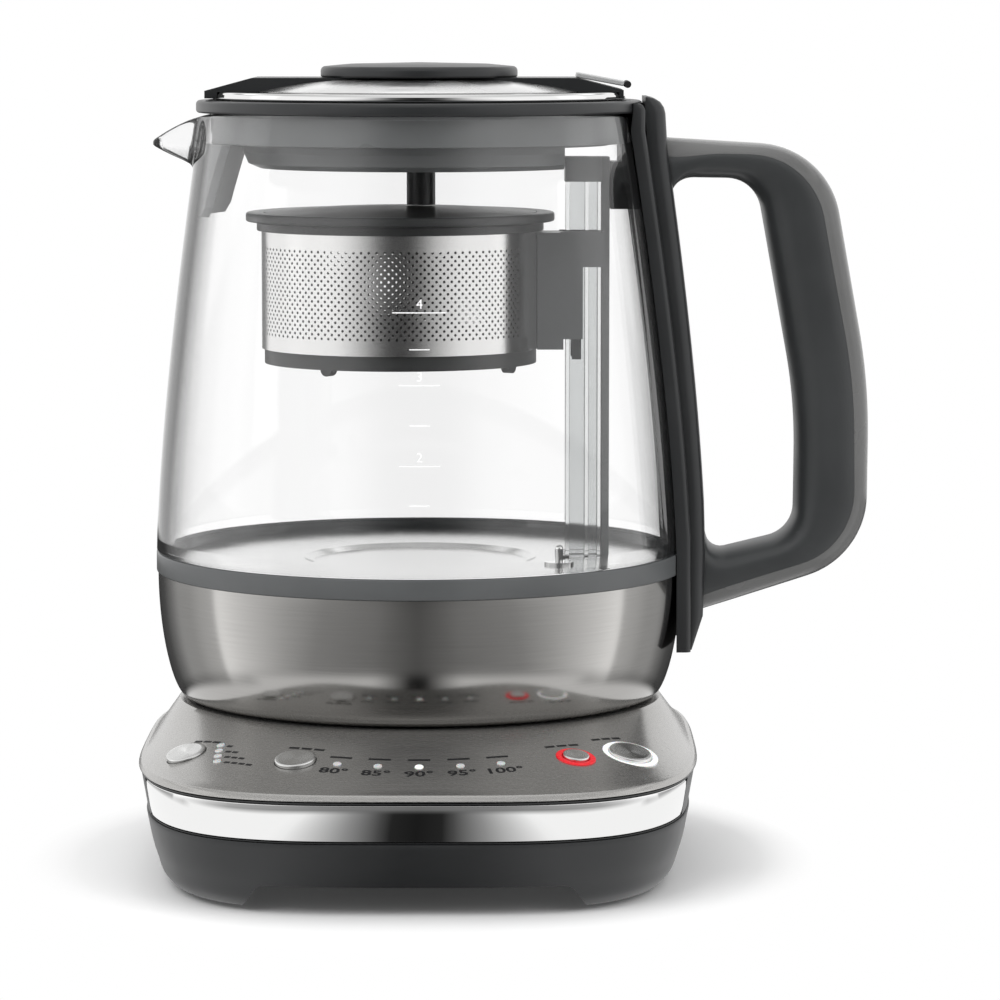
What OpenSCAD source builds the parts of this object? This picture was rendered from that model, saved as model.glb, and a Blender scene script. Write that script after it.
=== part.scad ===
// Automatic tea maker: a glass jug kettle with a tea basket, on an electronic power base.
// Millimetres. The origin is on the jug's axis at table level, +Z is up, the controls face -Y,
// the spout points to -X and the handle to +X.

/* [Power base] */
// Width of the base across its widest place
base_w = 170; // [164:1:186]
// How far the base reaches in front of the jug's axis
base_front = 116; // [110:1:124]
// How far the base reaches behind the jug's axis
base_back = 86; // [82:1:96]
// How square the base is in plan: 2 would be an ellipse
plan_power = 3.5; // [3:0.1:5]
// Wall thickness of the base mouldings
base_wall = 2.4; // [1.8:0.1:3]
// Height of the rubber feet under the housing
foot_h = 1.5; // [1:0.1:3]
// Height of the lower housing above its feet
housing_h = 20.4; // [18:0.1:24]
// Height of the middle frame that carries the bright band
frame_h = 12.4; // [11:0.1:14]
// Height of the top cover from its lower edge to the jug's seat
cover_h = 14.4; // [13:0.1:18]
// Radius of the round seat on which the jug stands
seat_r = 74.5; // [72:0.5:76]
// Height of the upright lip round the cover, under its slope
lip_h = 2.3; // [1.8:0.1:3.5]
// Width of the arch under the front, between the feet
arch_w = 100; // [80:1:104]
// Height of the arch
arch_h = 7.3; // [4:0.1:8]
// How far the bottom edge of the housing is drawn in
bottom_inset = 10; // [6:0.5:14]
// Half of the angle that the bright front band covers
band_angle = 50; // [42:0.1:53]
// Thickness of the bright front band
band_t = 1.2; // [0.8:0.1:1.6]
// Thickness of the circuit boards
board_t = 1.6; // [1:0.2:2]

/* [Buttons and lights] */
// Distance of the controls from the jug's axis
controls_r = 97.5; // [94:0.5:99]
// Radius of the strength and temperature buttons
button_r = 6; // [5:0.1:7]
// Radius of the keep warm button
small_button_r = 3.9; // [3:0.1:4.5]
// Radius of the start button
start_button_r = 6.4; // [5:0.1:7]
// How far the buttons stand above the cover
button_proud = 1.3; // [0.9:0.1:2]
// How far a button travels when it is pressed
button_travel = 0.8; // [0.4:0.1:0.8]
// Gap between a button and its hole
button_gap = 0.25; // [0.2:0.05:0.4]
// Radial width of the light rings round two of the buttons
ring_w = 1.8; // [1:0.1:2.2]
// Radius of the small indicator lights
light_r = 1.3; // [0.8:0.1:1.6]
// How far the small lights stand above the cover
light_proud = 0.4; // [0.2:0.1:0.8]

/* [Jug] */
// Running gap between the jug and the base under it
seat_gap = 0.3; // [0.3:0.1:0.8]
// Height of the steel bowl under the glass
bowl_h = 39; // [34:0.5:46]
// Radius of the steel bowl at its foot
bowl_foot_r = 72.4; // [70:0.2:73]
// Wall thickness of the steel bowl
bowl_wall = 1.2; // [0.8:0.1:2]
// Height of the plastic trim ring between bowl and glass
trim_h = 6.3; // [5:0.1:9]
// Outer radius of the glass at its foot
glass_foot_r = 81.4; // [80:0.1:84]
// Outer radius of the glass at its rim
glass_rim_r = 66.9; // [66:0.1:69]
// Height of the glass above the trim ring
glass_h = 134.5; // [130:0.5:150]
// Wall thickness of the glass
glass_wall = 2.8; // [2.2:0.1:3.2]
// How far the spout's tip is from the jug's axis
spout_reach = 82.5; // [79:0.5:88]
// Height of the collar above the glass
collar_h = 3.8; // [3:0.1:5]
// How far the collar stands out past the glass rim
collar_proud = 1.5; // [0.8:0.1:2]
// Thickness of the collar's skirt inside the glass
skirt_t = 1.8; // [1.4:0.1:2.2]
// Depth of the collar's skirt inside the glass
skirt_h = 9.4; // [7:0.1:11]
// Thickness of the heating plate in the floor of the jug
plate_t = 1.2; // [0.8:0.1:2]
// Assembly gap between pieces that are fixed to each other
fit_gap = 0.2; // [0.1:0.05:0.3]

/* [Handle] */
// Width of the handle's inner strap
strap_w = 44; // [38:1:50]
// Width of the handle's outer plate
plate_w = 35; // [30:1:37]
// Width of the grip
grip_w = 27; // [22:1:29]
// How far the grip reaches from the foot of the glass
grip_reach = 56.8; // [50:0.2:64]
// Thickness of the light trim along the back of the grip
spine_t = 5.5; // [4:0.1:7]
// Thickness of the strap at the foot of the glass
strap_t = 4.4; // [3.6:0.1:5.5]
// Thickness of the plate at the foot of the glass
backplate_t = 4.2; // [3.4:0.1:5]
// Radius of the screws that hold the handle
screw_r = 2.2; // [1.5:0.1:2.6]

/* [Riser] */
// Length of the clear riser's section, along the jug's radius
riser_l = 11; // [9:0.1:12]
// Width of the clear riser's section
riser_w = 11.2; // [9:0.1:12]
// Wall thickness of the clear riser
riser_wall = 1.2; // [0.9:0.1:1.5]
// Distance of the riser's outer face from the jug's axis
riser_x = 56; // [55:0.1:56.5]
// Thickness of the dark strip behind the riser
strip_t = 2.3; // [1.5:0.1:2.6]
// Height of the cap on the riser
cap_h = 7.6; // [5:0.1:8]
// Radius of the temperature probe
probe_r = 1.15; // [0.8:0.05:1.6]
// Height of the temperature probe
probe_h = 5.6; // [4:0.2:12]

/* [Lid] */
// Gap between the lid and the collar under it
lid_gap = 0.3; // [0.3:0.1:0.6]
// Outer radius of the lid's bright rim
lid_r = 63.4; // [60:0.1:65]
// Height of the lid's bright rim
lid_rim_h = 2.3; // [1.8:0.1:3]
// Radius of the bright dome
dome_r = 51; // [46:0.5:54]
// Rise of the bright dome
dome_h = 4.3; // [3:0.1:6]
// How flat the dome is in its middle: 2 would be a parabola
dome_power = 3.5; // [2:0.1:5]
// Width of the dark bridge across the lid
bridge_w = 36; // [28:1:44]
// Radius of the knob
knob_r = 30.2; // [24:0.2:34]
// Height of the knob above the bridge
knob_h = 4.6; // [4:0.1:8]
// Radius of the cup under the lid
cup_r = 54; // [50:0.5:56]
// Radius of the lid's stem
stem_r = 4.4; // [3:0.1:6]
// Length of the thumb tab
tab_l = 17; // [12:0.5:20]
// Width of the thumb tab
tab_w = 16; // [10:0.5:24]

/* [Tea basket] */
// Distance of the basket's axis from the jug's axis, towards the spout
basket_off = 5.9; // [5:0.1:7]
// Radius of the steel drum
drum_r = 42.75; // [40:0.25:43]
// Height of the steel drum
drum_h = 36.1; // [30:0.1:44]
// Wall thickness of the steel drum
drum_wall = 0.8; // [0.6:0.1:1.2]
// Height of the ring under the drum
foot_ring_h = 4.5; // [3:0.1:6]
// How far the basket's rim stands out past the drum
rim_proud = 4.75; // [3:0.25:5]
// Height of the drum's lower edge above the foot of the glass
basket_rise = 62.3; // [40:0.1:64]
// Rise of the basket's own lid at its middle
basket_lid_h = 1.8; // [1.2:0.1:3]
// Gap between the basket's lid and its rim
basket_lid_gap = 0.3; // [0.2:0.05:0.5]
// Thickness of the bracket's two cheeks beside the riser
cheek_t = 2.2; // [1.6:0.1:3]
// Running gap between the bracket and the riser
slide_gap = 0.5; // [0.3:0.1:0.8]

/* [Hidden] */
$fn = 96;
eps = 0.01;

// Colours
dark_plastic = "#3c3e40";
mid_plastic = "#5f6264";
bright_steel = "#c9c9c7";
warm_steel = "#98948e";
clear_glass = [0.85, 0.9, 0.92, 0.35];
rubber_black = "#1e1e1f";
board_green = "#2f5b3a";
light_white = "#f4f6f8";
light_red = "#c8202c";

// Heights of the base, from the table up
frame_z = foot_h + housing_h;
cover_z = frame_z + frame_h + 0.2;
seat_z = cover_z + cover_h;
lip_z = cover_z + lip_h;

// Heights of the jug, from the seat up
jug_z = seat_z + seat_gap;
trim_z = jug_z + bowl_h;
glass_z = trim_z + trim_h;
rim_z = glass_z + glass_h;
collar_z = rim_z + collar_h;
lid_z = collar_z + lid_gap;
floor_z = trim_z + 2.4;

// ---------- curves ----------
function mix(a, b, t) = a + (b - a) * t;
function unit(v) = v / norm(v);
function sgn_pow(v, e) = sign(v) * pow(abs(v), e);

// Points of a path through corners [x, y, radius], each corner rounded with its radius
function corner_arc(a, b, c, n) =
    let (u = unit([a[0] - b[0], a[1] - b[1]]), v = unit([c[0] - b[0], c[1] - b[1]]),
         half = acos(max(-1, min(1, u * v))) / 2, cut = b[2] / tan(half),
         centre = [b[0], b[1]] + unit(u + v) * b[2] / sin(half),
         p = [b[0], b[1]] + u * cut - centre, q = [b[0], b[1]] + v * cut - centre,
         turn = 180 - 2 * half, side = sign(p[0] * q[1] - p[1] * q[0]))
    [for (k = [0 : n])
        let (w = side * turn * k / n)
        centre + [p[0] * cos(w) - p[1] * sin(w), p[0] * sin(w) + p[1] * cos(w)]];
function round_path(c, n = 8) = concat([[c[0][0], c[0][1]]],
    [for (i = [1 : len(c) - 2]) each corner_arc(c[i - 1], c[i], c[i + 1], n)],
    [[c[len(c) - 1][0], c[len(c) - 1][1]]]);

// Running length along a path, and the point at a share of its whole length
function lengths(p, i = 0, sum = 0) = i == len(p) - 1 ? [sum]
    : concat([sum], lengths(p, i + 1, sum + norm(p[i + 1] - p[i])));
function find(l, s, i = 0) = i >= len(l) - 2 || l[i + 1] >= s ? i : find(l, s, i + 1);
function along(p, l, share) =
    let (s = share * l[len(l) - 1], i = find(l, s))
    mix(p[i], p[i + 1], (s - l[i]) / max(l[i + 1] - l[i], eps));

// A solid through closed rings of points, all of one length
module skin(rings) {
    n = len(rings[0]);
    m = len(rings);
    polyhedron(points = [for (r = rings) each r],
        faces = concat([[for (k = [0 : n - 1]) k]],
            [[for (k = [n - 1 : -1 : 0]) (m - 1) * n + k]],
            [for (i = [0 : m - 2]) for (k = [0 : n - 1])
                let (a = i * n + k, b = i * n + (k + 1) % n) each [[a, a + n, b], [b, a + n, b + n]]]));
}

// ---------- plan of the base ----------
plan_steps = 72;
// Distance from the jug's axis to the base's edge, towards angle a
function plan_r(a) =
    let (x = abs(cos(a)) / (base_w / 2), y = abs(sin(a)) / (sin(a) < 0 ? base_front : base_back))
    pow(pow(x, plan_power) + pow(y, plan_power), -1 / plan_power);
// A ring at height z: the plan drawn in by inset, and blended by share t to the round seat
function plan_ring(z, inset, t = 0, grow = 0) = [for (k = [0 : plan_steps - 1])
    let (a = 360 * k / plan_steps, r = mix(plan_r(a) - inset, seat_r, t) + grow)
    [r * cos(a), r * sin(a), z]];
function shoulder_r(a) = plan_r(a) - shoulder_inset;
shoulder_inset = 2;
// Height and tilt of the sloping cover, at distance r from the axis towards angle a
function cover_top(r, a) =
    seat_z - (seat_z - lip_z) * (r - seat_r) / (shoulder_r(a) - seat_r);
function cover_tilt(a) = atan((seat_z - lip_z) / (shoulder_r(a) - seat_r));

// Puts its children on the sloping cover, with +Z square to the surface
module on_cover(a, r = controls_r) {
    rotate([0, 0, a])
        translate([r, 0, cover_top(r, a)])
            rotate([0, cover_tilt(a), 0])
                children();
}

// Directions of the controls round the jug's axis
strength_a = -134.2;
temp_a = -110.9;
keep_warm_a = -61.2;
start_a = -49.6;
// The row of temperature lights
temp_light_a = [for (k = [-2 : 2]) -89.2 + 7.06 * k];
// The column of strength lights, each [angle, distance]
strength_light_p = [for (k = [0 : 3]) [-129.3 + 1.5 * k, controls_r - 6.3 + 3.5 * k]];

// ---------- power base ----------
housing_top_inset = 2.4;
floor_top = foot_h + arch_h + base_wall;
// The housing's wall: [height, how far it is drawn in] from the bottom up
housing_line = [[foot_h, bottom_inset], [foot_h + 0.15 * housing_h, 0.75 * bottom_inset],
    [foot_h + 0.34 * housing_h, 0.6 * bottom_inset], [foot_h + 0.58 * housing_h, 0.43 * bottom_inset],
    [frame_z, housing_top_inset]];
function housing_inset(z) = lookup(z, housing_line);
// One cup-shaped skin: up the outside, over the edge and down the inside to the floor
module housing_shell() {
    skin(concat([for (s = housing_line) plan_ring(s[0], s[1])],
        [for (z = [frame_z, 0.5 * (floor_top + frame_z), floor_top])
            plan_ring(z, base_wall + housing_inset(z))]));
}

boss_r = 5;
foot_r = 6.5;
boss_x = arch_w / 2 + foot_r + 0.5;
boss_p = [for (y = [-58, 40]) for (x = [-boss_x, boss_x]) [x, y]];
// The arch from foot to foot, with rounded top corners
arch_run = 4.7;
arch_round = 5;
function arch_line() = concat([[-arch_w / 2, -1]], round_path([[-arch_w / 2, 0],
    [arch_run - arch_w / 2, arch_h, arch_round], [arch_w / 2 - arch_run, arch_h, arch_round],
    [arch_w / 2, 0]]), [[arch_w / 2, -1]]);
module base_housing() {
    color(dark_plastic) difference() {
        union() {
            housing_shell();
            for (p = boss_p)
                translate([p[0], p[1], floor_top - 1]) cylinder(r = boss_r, h = frame_z - floor_top + 1);
        }
        translate([0, 0, foot_h])
            rotate([90, 0, 0])
                linear_extrude(height = 3 * base_w, center = true) polygon(arch_line());
        for (p = boss_p) {
            translate([p[0], p[1], 0]) cylinder(r = screw_r + fit_gap, h = base_w);
            translate([p[0], p[1], 0]) cylinder(r = screw_head_r + fit_gap, h = foot_h + screw_sink);
        }
        translate([0, base_back, inlet_z])
            rotate([90, 0, 0])
                cylinder(r = inlet_r + fit_gap, h = 3 * base_wall + bottom_inset, center = true);
    }
}

screw_head_r = 3.6;
screw_sink = 5;
screw_head_h = 2;
module base_screws() {
    color(bright_steel)
        for (p = boss_p) translate([p[0], p[1], foot_h + screw_sink - screw_head_h]) {
            cylinder(r = screw_head_r, h = screw_head_h);
            cylinder(r = screw_r, h = frame_z + 0.7 * frame_h - foot_h - screw_sink + screw_head_h);
        }
}

// Rubber feet: rings, so that the screws can be reached through them
module rubber_feet() {
    color(rubber_black)
        for (p = boss_p) translate([p[0], p[1], 0]) difference() {
            cylinder(r = foot_r, h = foot_h);
            translate([0, 0, -eps]) cylinder(r = screw_head_r + fit_gap, h = foot_h + 1);
        }
}

band_lean = 2.4;
band_top_inset = 0.6;
band_reveal = 0.5;
// The frame's outer line, drawn in by grow, and carried on past both edges by over
module frame_body(grow, over = 0) {
    slope = band_lean / (frame_h - fit_gap);
    skin([plan_ring(frame_z + fit_gap - over, band_top_inset + band_lean + over * slope - grow),
        plan_ring(frame_z + frame_h + over, band_top_inset - over * slope - grow)]);
}
module front_wedge(half, z0, z1) {
    translate([0, 0, z0])
        linear_extrude(height = z1 - z0)
            polygon([[0, 0], for (k = [-4 : 4])
                [2 * base_w * sin(half * k / 4), -2 * base_w * cos(half * k / 4)]]);
}
module base_frame() {
    ledge = 12;
    color(dark_plastic) difference() {
        union() {
            difference() {
                frame_body(0);
                frame_body(-base_wall - band_t, 1);
            }
            for (p = boss_p) frame_boss(p, ledge);
        }
        difference() {
            front_wedge(band_angle, frame_z + band_reveal, frame_z + frame_h - band_reveal);
            skin([plan_ring(frame_z, band_top_inset + band_lean + band_t + fit_gap),
                plan_ring(frame_z + frame_h, band_top_inset + band_t + fit_gap)]);
        }
        for (p = boss_p)
            translate([p[0], p[1], frame_z - 1]) cylinder(r = screw_r + eps, h = 0.7 * frame_h + 2);
    }
}
// How far the control board lies under the frame's top
board_drop = 1.6;
// A screw boss with a web out to the frame's wall, its top just under the control board
frame_boss_h = frame_h - board_drop - 2 * fit_gap;
module frame_boss(p, ledge) {
    intersection() {
        frame_body(-base_wall);
        hull() {
            translate([p[0], p[1], frame_z + fit_gap]) cylinder(r = boss_r, h = frame_boss_h, $fn = 32);
            translate([p[0] + sign(p[0]) * 2 * ledge, p[1] + sign(p[1]) * ledge, frame_z + fit_gap])
                cylinder(r = boss_r, h = frame_boss_h, $fn = 32);
        }
    }
}
module chrome_band() {
    z0 = frame_z + band_reveal + fit_gap;
    z1 = frame_z + frame_h - band_reveal - fit_gap;
    color(bright_steel) intersection() {
        front_wedge(band_angle - 0.4, z0, z1);
        difference() {
            frame_body(0);
            skin([plan_ring(frame_z, band_top_inset + band_lean + band_t),
                plan_ring(frame_z + frame_h + 1, band_top_inset + band_t)]);
        }
    }
}

lip_inset = 0.9;
lip_round = 0.7;
cover_inset = base_wall + 1.4;
module cover_outside() {
    skin([plan_ring(cover_z, lip_inset), plan_ring(cover_z + lip_round, 0), plan_ring(lip_z - lip_round, 0),
        plan_ring(lip_z, shoulder_inset), plan_ring(seat_z, 0, 1)]);
}
module cover_inside() {
    skin([plan_ring(cover_z - 1, cover_inset), plan_ring(cover_z, cover_inset),
        plan_ring(seat_z - base_wall, 0, 1, -base_wall)]);
}
module base_cover() {
    color(warm_steel) difference() {
        cover_outside();
        difference() {
            cover_inside();
            translate([0, 0, cover_z]) cylinder(r = well_r + base_wall, h = cover_h);
        }
        translate([0, 0, cover_z - 1]) cylinder(r = well_r, h = cover_h + 2);
        on_cover(strength_a) button_hole(button_r + button_gap);
        on_cover(temp_a) button_hole(button_r + button_gap);
        on_cover(keep_warm_a) button_hole(small_button_r + button_gap + ring_w + fit_gap);
        on_cover(start_a) button_hole(start_button_r + button_gap + ring_w + fit_gap);
        for (a = temp_light_a) on_cover(a) button_hole(light_r + fit_gap);
        for (p = strength_light_p) on_cover(p[0], p[1]) button_hole(light_r + fit_gap);
    }
}
module button_hole(r) {
    translate([0, 0, -3 * base_wall]) cylinder(r = r, h = 6 * base_wall);
}

// The round connector that stands in the middle of the seat, with two contact rings
well_r = 21;
post_r = 11;
post_h = 9.5;
module base_connector() {
    color(dark_plastic) difference() {
        union() {
            translate([0, 0, cover_z + 1]) cylinder(r = well_r - fit_gap, h = 2.4);
            translate([0, 0, cover_z + 3]) cylinder(r = post_r, h = seat_z + post_h - cover_z - 3);
        }
        for (r = [post_r - 2.2, post_r - 6])
            translate([0, 0, seat_z + post_h - 3]) difference() {
                cylinder(r = r, h = 4);
                translate([0, 0, -1]) cylinder(r = r - 1.6, h = 6);
            }
    }
}

board_z = frame_z + frame_h - board_drop;
board_angle = 49;
module control_board() {
    outer = 20;
    color(board_green) translate([0, 0, board_z]) difference() {
        intersection() {
            translate([0, 0, -board_z]) front_wedge(board_angle, board_z, board_z + board_t);
            linear_extrude(height = board_t)
                polygon([for (k = [0 : plan_steps - 1]) let (a = 360 * k / plan_steps)
                    (plan_r(a) - band_top_inset - band_t - base_wall - 1) * [cos(a), sin(a)]]);
        }
        translate([0, 0, -1]) cylinder(r = controls_r - outer, h = board_t + 2);
    }
}
// The power supply on its four studs, with a transformer and a relay
supply_l = 90;
supply_w = 74;
supply_y = -24;
stud_r = 2.5;
stud_h = 1;
stud_in = 6;
module power_board() {
    color(board_green) translate([-supply_l / 2, supply_y, floor_top + stud_h]) {
        cube([supply_l, supply_w, board_t]);
        translate([12, 14, board_t]) cube([26, 20, 14]);
        translate([52, 18, board_t]) cube([18, 16, 10]);
        for (x = [stud_in, supply_l - stud_in]) for (y = [stud_in, supply_w - stud_in])
            translate([x, y, -stud_h]) cylinder(r = stud_r, h = stud_h + eps);
    }
}

// A push switch stands on the board under each button, and the cap reaches down to it
switch_h = 2.4;
switch_r = 2.2;
switch_gap = 0.3;
cap_bevel = 0.5;
// Distance from the cover to the board under it, square to the cover, towards angle a
function board_depth(a) =
    (cover_top(controls_r, a) - board_z - board_t) / cos(cover_tilt(a));
module cap(r, a) {
    depth = board_depth(a) - switch_h - switch_gap - button_travel;
    on_cover(a) {
        translate([0, 0, -depth]) cylinder(r = r, h = depth + button_proud - cap_bevel);
        translate([0, 0, button_proud - cap_bevel - eps])
            cylinder(r1 = r, r2 = r - cap_bevel, h = cap_bevel);
    }
}
module strength_button() { color(bright_steel) cap(button_r, strength_a); }
module temperature_button() { color(bright_steel) cap(button_r, temp_a); }
module keep_warm_button() { color(bright_steel) cap(small_button_r, keep_warm_a); }
module start_button() { color(bright_steel) cap(start_button_r, start_a); }

module switch_under(a) {
    difference() {
        on_cover(a)
            translate([0, 0, -board_depth(a) - switch_r]) cylinder(r = switch_r, h = switch_h + switch_r);
        translate([-base_w, -base_w, board_z + board_t - base_w]) cube([2 * base_w, 2 * base_w, base_w]);
    }
}
module switches() {
    color(rubber_black) for (a = [strength_a, temp_a, keep_warm_a, start_a]) switch_under(a);
}

module light_ring(r) {
    inner = r + button_gap;
    difference() {
        translate([0, 0, -base_wall]) cylinder(r = inner + ring_w, h = base_wall + light_proud);
        translate([0, 0, -base_wall - 1]) cylinder(r = inner, h = base_wall + light_proud + 2);
    }
}
module keep_warm_ring() { color(light_red) on_cover(keep_warm_a) light_ring(small_button_r); }
module start_ring() { color(light_white) on_cover(start_a) light_ring(start_button_r); }
module lamp() {
    translate([0, 0, -base_wall]) cylinder(r = light_r, h = base_wall + light_proud);
}
module strength_lights() {
    color(light_white) for (p = strength_light_p) on_cover(p[0], p[1]) lamp();
}
module temperature_lights() {
    color(light_white) for (a = temp_light_a) on_cover(a) lamp();
}

inlet_r = 4;
cord_r = 2.9;
inlet_z = foot_h + arch_h + base_wall + inlet_r + 1.2;
module cord_inlet() {
    len_in = 9;
    edge = plan_r(90) - housing_inset(inlet_z);
    color(rubber_black) translate([0, edge + 1.5, inlet_z]) rotate([90, 0, 0]) difference() {
        union() {
            cylinder(r = inlet_r, h = len_in);
            translate([0, 0, len_in - 2]) cylinder(r = inlet_r + 1, h = 2);
        }
        translate([0, 0, -1]) cylinder(r = cord_r, h = len_in + 2);
    }
}

// ---------- jug ----------
bowl_r = glass_foot_r - 0.4;
trim_r = glass_foot_r + 0.1;
ring_wall = 1.9;
glass_power = 1.42;
// Outer radius of the glass at height z
function glass_r(z) = glass_foot_r - (glass_foot_r - glass_rim_r)
    * pow(max(0, (z - glass_z) / glass_h), glass_power);
glass_steps = 24;
function glass_line(grow) = [for (k = [0 : glass_steps])
    let (z = glass_z + glass_h * k / glass_steps) [glass_r(z) + grow, z]];
// Height of the glass foot inside the trim ring
glass_sink = 4.2;
neck_r = trim_r - ring_wall - fit_gap;

// Outer line of the bowl, as shares of its height and of its flare
function bowl_line(grow) = [for (k = [0 : 16])
    let (a = 90 * k / 16, flare = bowl_r - bowl_foot_r)
    [bowl_foot_r + flare * pow(sin(a), 0.8) + grow, jug_z + 0.4 + (bowl_h - 1.2) * pow(1 - cos(a), 0.75)]];

module jug_bowl() {
    outer = bowl_line(0);
    inner = bowl_line(-bowl_wall);
    n = len(outer);
    color(warm_steel) rotate_extrude()
        polygon(concat([[bowl_foot_r - 3, outer[0][1]]], outer, [[bowl_r, trim_z]],
            [[bowl_r - bowl_wall, trim_z]], [for (k = [n - 1 : -1 : 1]) inner[k]],
            [for (x = [bowl_wall, 3]) [bowl_foot_r - x, outer[0][1] + bowl_wall]]));
}

ring_floor = 1.2;
ring_in = neck_r - glass_wall - ring_floor;
module trim_ring() {
    ledge = trim_z + ring_floor;
    color(mid_plastic) rotate_extrude()
        polygon([[ring_in, trim_z], [trim_r, trim_z], [trim_r, glass_z],
            [trim_r - ring_wall, glass_z], [trim_r - ring_wall, ledge], [ring_in, ledge]]);
}
module glass_seal() {
    ledge = trim_z + ring_floor;
    color(rubber_black) rotate_extrude()
        polygon([[neck_r - glass_wall, ledge], [neck_r, ledge],
            [neck_r, glass_z - glass_sink], [neck_r - glass_wall, glass_z - glass_sink]]);
}

// Spout: a beak drawn out of the rim towards -X, open at the top
spout_low = 21.4;
spout_tip_drop = 8.4;
spout_lip = 2.8;
spout_half = 22;
spout_tip_r = 4;
spout_root_x = 14 - glass_rim_r;
function bend(a, b, c) = [for (k = [0 : 8]) let (t = k / 8)
    (1 - t) * (1 - t) * a + 2 * t * (1 - t) * b + t * t * c];
module spout_plan(grow) {
    r = spout_tip_r + grow;
    polygon(concat([[spout_root_x, spout_half + grow]],
        [for (k = [0 : 8]) let (a = 130 + 100 * k / 8)
            [spout_tip_r - spout_reach + r * cos(a), r * sin(a)]],
        [[spout_root_x, -spout_half - grow]]));
}
module spout_form(wall, top) {
    under = bend([spout_root_x, rim_z - spout_low + wall], [-glass_rim_r - 8, rim_z - spout_low + 4 + wall],
        [wall - spout_reach, rim_z - spout_tip_drop - spout_lip + wall]);
    upper = bend([wall - spout_reach, rim_z - spout_tip_drop + top], [-glass_rim_r - 9, rim_z - 2.6 + top],
        [spout_root_x, rim_z - 0.6 + top]);
    intersection() {
        translate([0, 0, rim_z - 2 * spout_low]) linear_extrude(height = 4 * spout_low) spout_plan(-wall);
        slab(3 * spout_half, concat(under, upper));
    }
}
module glass_outer(grow, z0) {
    line = glass_line(grow);
    rotate_extrude() polygon(concat([[0, z0]], [[line[0][0], z0]], line, [[0, rim_z]]));
}
module glass_jug() {
    inner = glass_line(-glass_wall);
    n = len(inner);
    color(clear_glass) difference() {
        union() {
            rotate_extrude() polygon(concat([[neck_r - glass_wall, glass_z - glass_sink]],
                [[neck_r, glass_z - glass_sink], [neck_r, glass_z]], glass_line(0),
                [for (k = [n - 1 : -1 : 0]) inner[k]], [[neck_r - glass_wall, glass_z - 2]]));
            difference() {
                spout_form(0, 0);
                glass_outer(-glass_wall / 2, glass_z);
            }
        }
        spout_form(glass_wall - 0.6, spout_low);
    }
}
// The floor's middle is a shallow dish, so that the last water collects over the element
dish_r = 34;
dish_depth = 1.2;
module heating_plate() {
    r1 = neck_r - glass_wall - fit_gap;
    top = floor_z + plate_t;
    color(bright_steel) rotate_extrude()
        polygon([[0, floor_z - dish_depth], [dish_r - 1, floor_z - dish_depth], [dish_r + 2, floor_z],
            [r1, floor_z], [r1, top], [dish_r + 2, top], [dish_r - 1, top - dish_depth],
            [0, top - dish_depth]]);
}

// The cover under the jug is held by three screws, and the element lies inside their posts
bottom_t = 2.4;
bottom_r = bowl_foot_r - bowl_wall - 2;
post_wall_r = boss_r - 1;
cover_screw_a = [30, 150, 270];
cover_screw_x = bottom_r - post_wall_r - 3.2;
cover_screw_l = 12;
element_w = 12;
element_h = 5;
element_r = cover_screw_x - post_wall_r - element_w / 2 - 2;
module heating_element() {
    color("#b9babb") translate([0, 0, floor_z]) {
        rotate([0, 0, 20]) rotate_extrude(angle = 320)
            translate([element_r - element_w / 2, -element_h]) square([element_w, element_h]);
        translate([0, 0, -element_h - dish_depth]) cylinder(r = dish_r - 2, h = element_h);
    }
}

socket_r = 19.5;
module jug_bottom_cover() {
    posts_h = trim_z - jug_z - 0.4;
    collar_l = 14;
    color(dark_plastic) difference() {
        union() {
            translate([0, 0, jug_z]) cylinder(r = bottom_r, h = bottom_t);
            translate([0, 0, jug_z]) cylinder(r = socket_r + 3, h = collar_l);
            for (a = cover_screw_a) rotate([0, 0, a]) translate([cover_screw_x, 0, jug_z])
                cylinder(r = post_wall_r, h = posts_h);
        }
        translate([0, 0, jug_z - 1]) cylinder(r = socket_r + seat_gap, h = collar_l + 2);
        for (a = cover_screw_a) rotate([0, 0, a]) translate([cover_screw_x, 0, jug_z - 1]) {
            cylinder(r = screw_r + eps, h = cover_screw_l + 2);
            cylinder(r = screw_head_r + fit_gap, h = 1 + fit_gap + screw_head_h);
        }
    }
}
module bottom_cover_screws() {
    color(bright_steel) for (a = cover_screw_a) rotate([0, 0, a])
        translate([cover_screw_x, 0, jug_z + fit_gap]) {
            cylinder(r = screw_head_r, h = screw_head_h);
            cylinder(r = screw_r, h = cover_screw_l);
        }
}
// The jug's half of the connector: a round socket that turns freely on the post
module jug_connector() {
    top = seat_z + post_h + 1;
    color(rubber_black) difference() {
        translate([0, 0, jug_z + 0.2]) cylinder(r = socket_r, h = top + 3 - jug_z - 0.2);
        translate([0, 0, jug_z - 1]) cylinder(r = post_r + seat_gap, h = top - jug_z + 1);
    }
}

probe_p = [42.6, -28];
module temperature_probe() {
    z = floor_z + plate_t;
    color(bright_steel) translate([probe_p[0], probe_p[1], z]) {
        cylinder(r = 4.4, h = 1);
        cylinder(r = probe_r, h = probe_h);
        translate([0, 0, probe_h]) sphere(r = probe_r, $fn = 24);
    }
}

// ---------- collar ----------
skirt_r = glass_rim_r - glass_wall - 0.3;
collar_in = skirt_r - skirt_t;
module collar() {
    r1 = glass_rim_r + collar_proud;
    round = 0.8;
    low = rim_z - skirt_h;
    color(mid_plastic) rotate_extrude()
        polygon([[collar_in, low], [skirt_r, low], [skirt_r, rim_z], [r1 - round, rim_z],
            [r1, rim_z + round], [r1, collar_z - round], [r1 - round, collar_z], [collar_in, collar_z]]);
}

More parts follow.
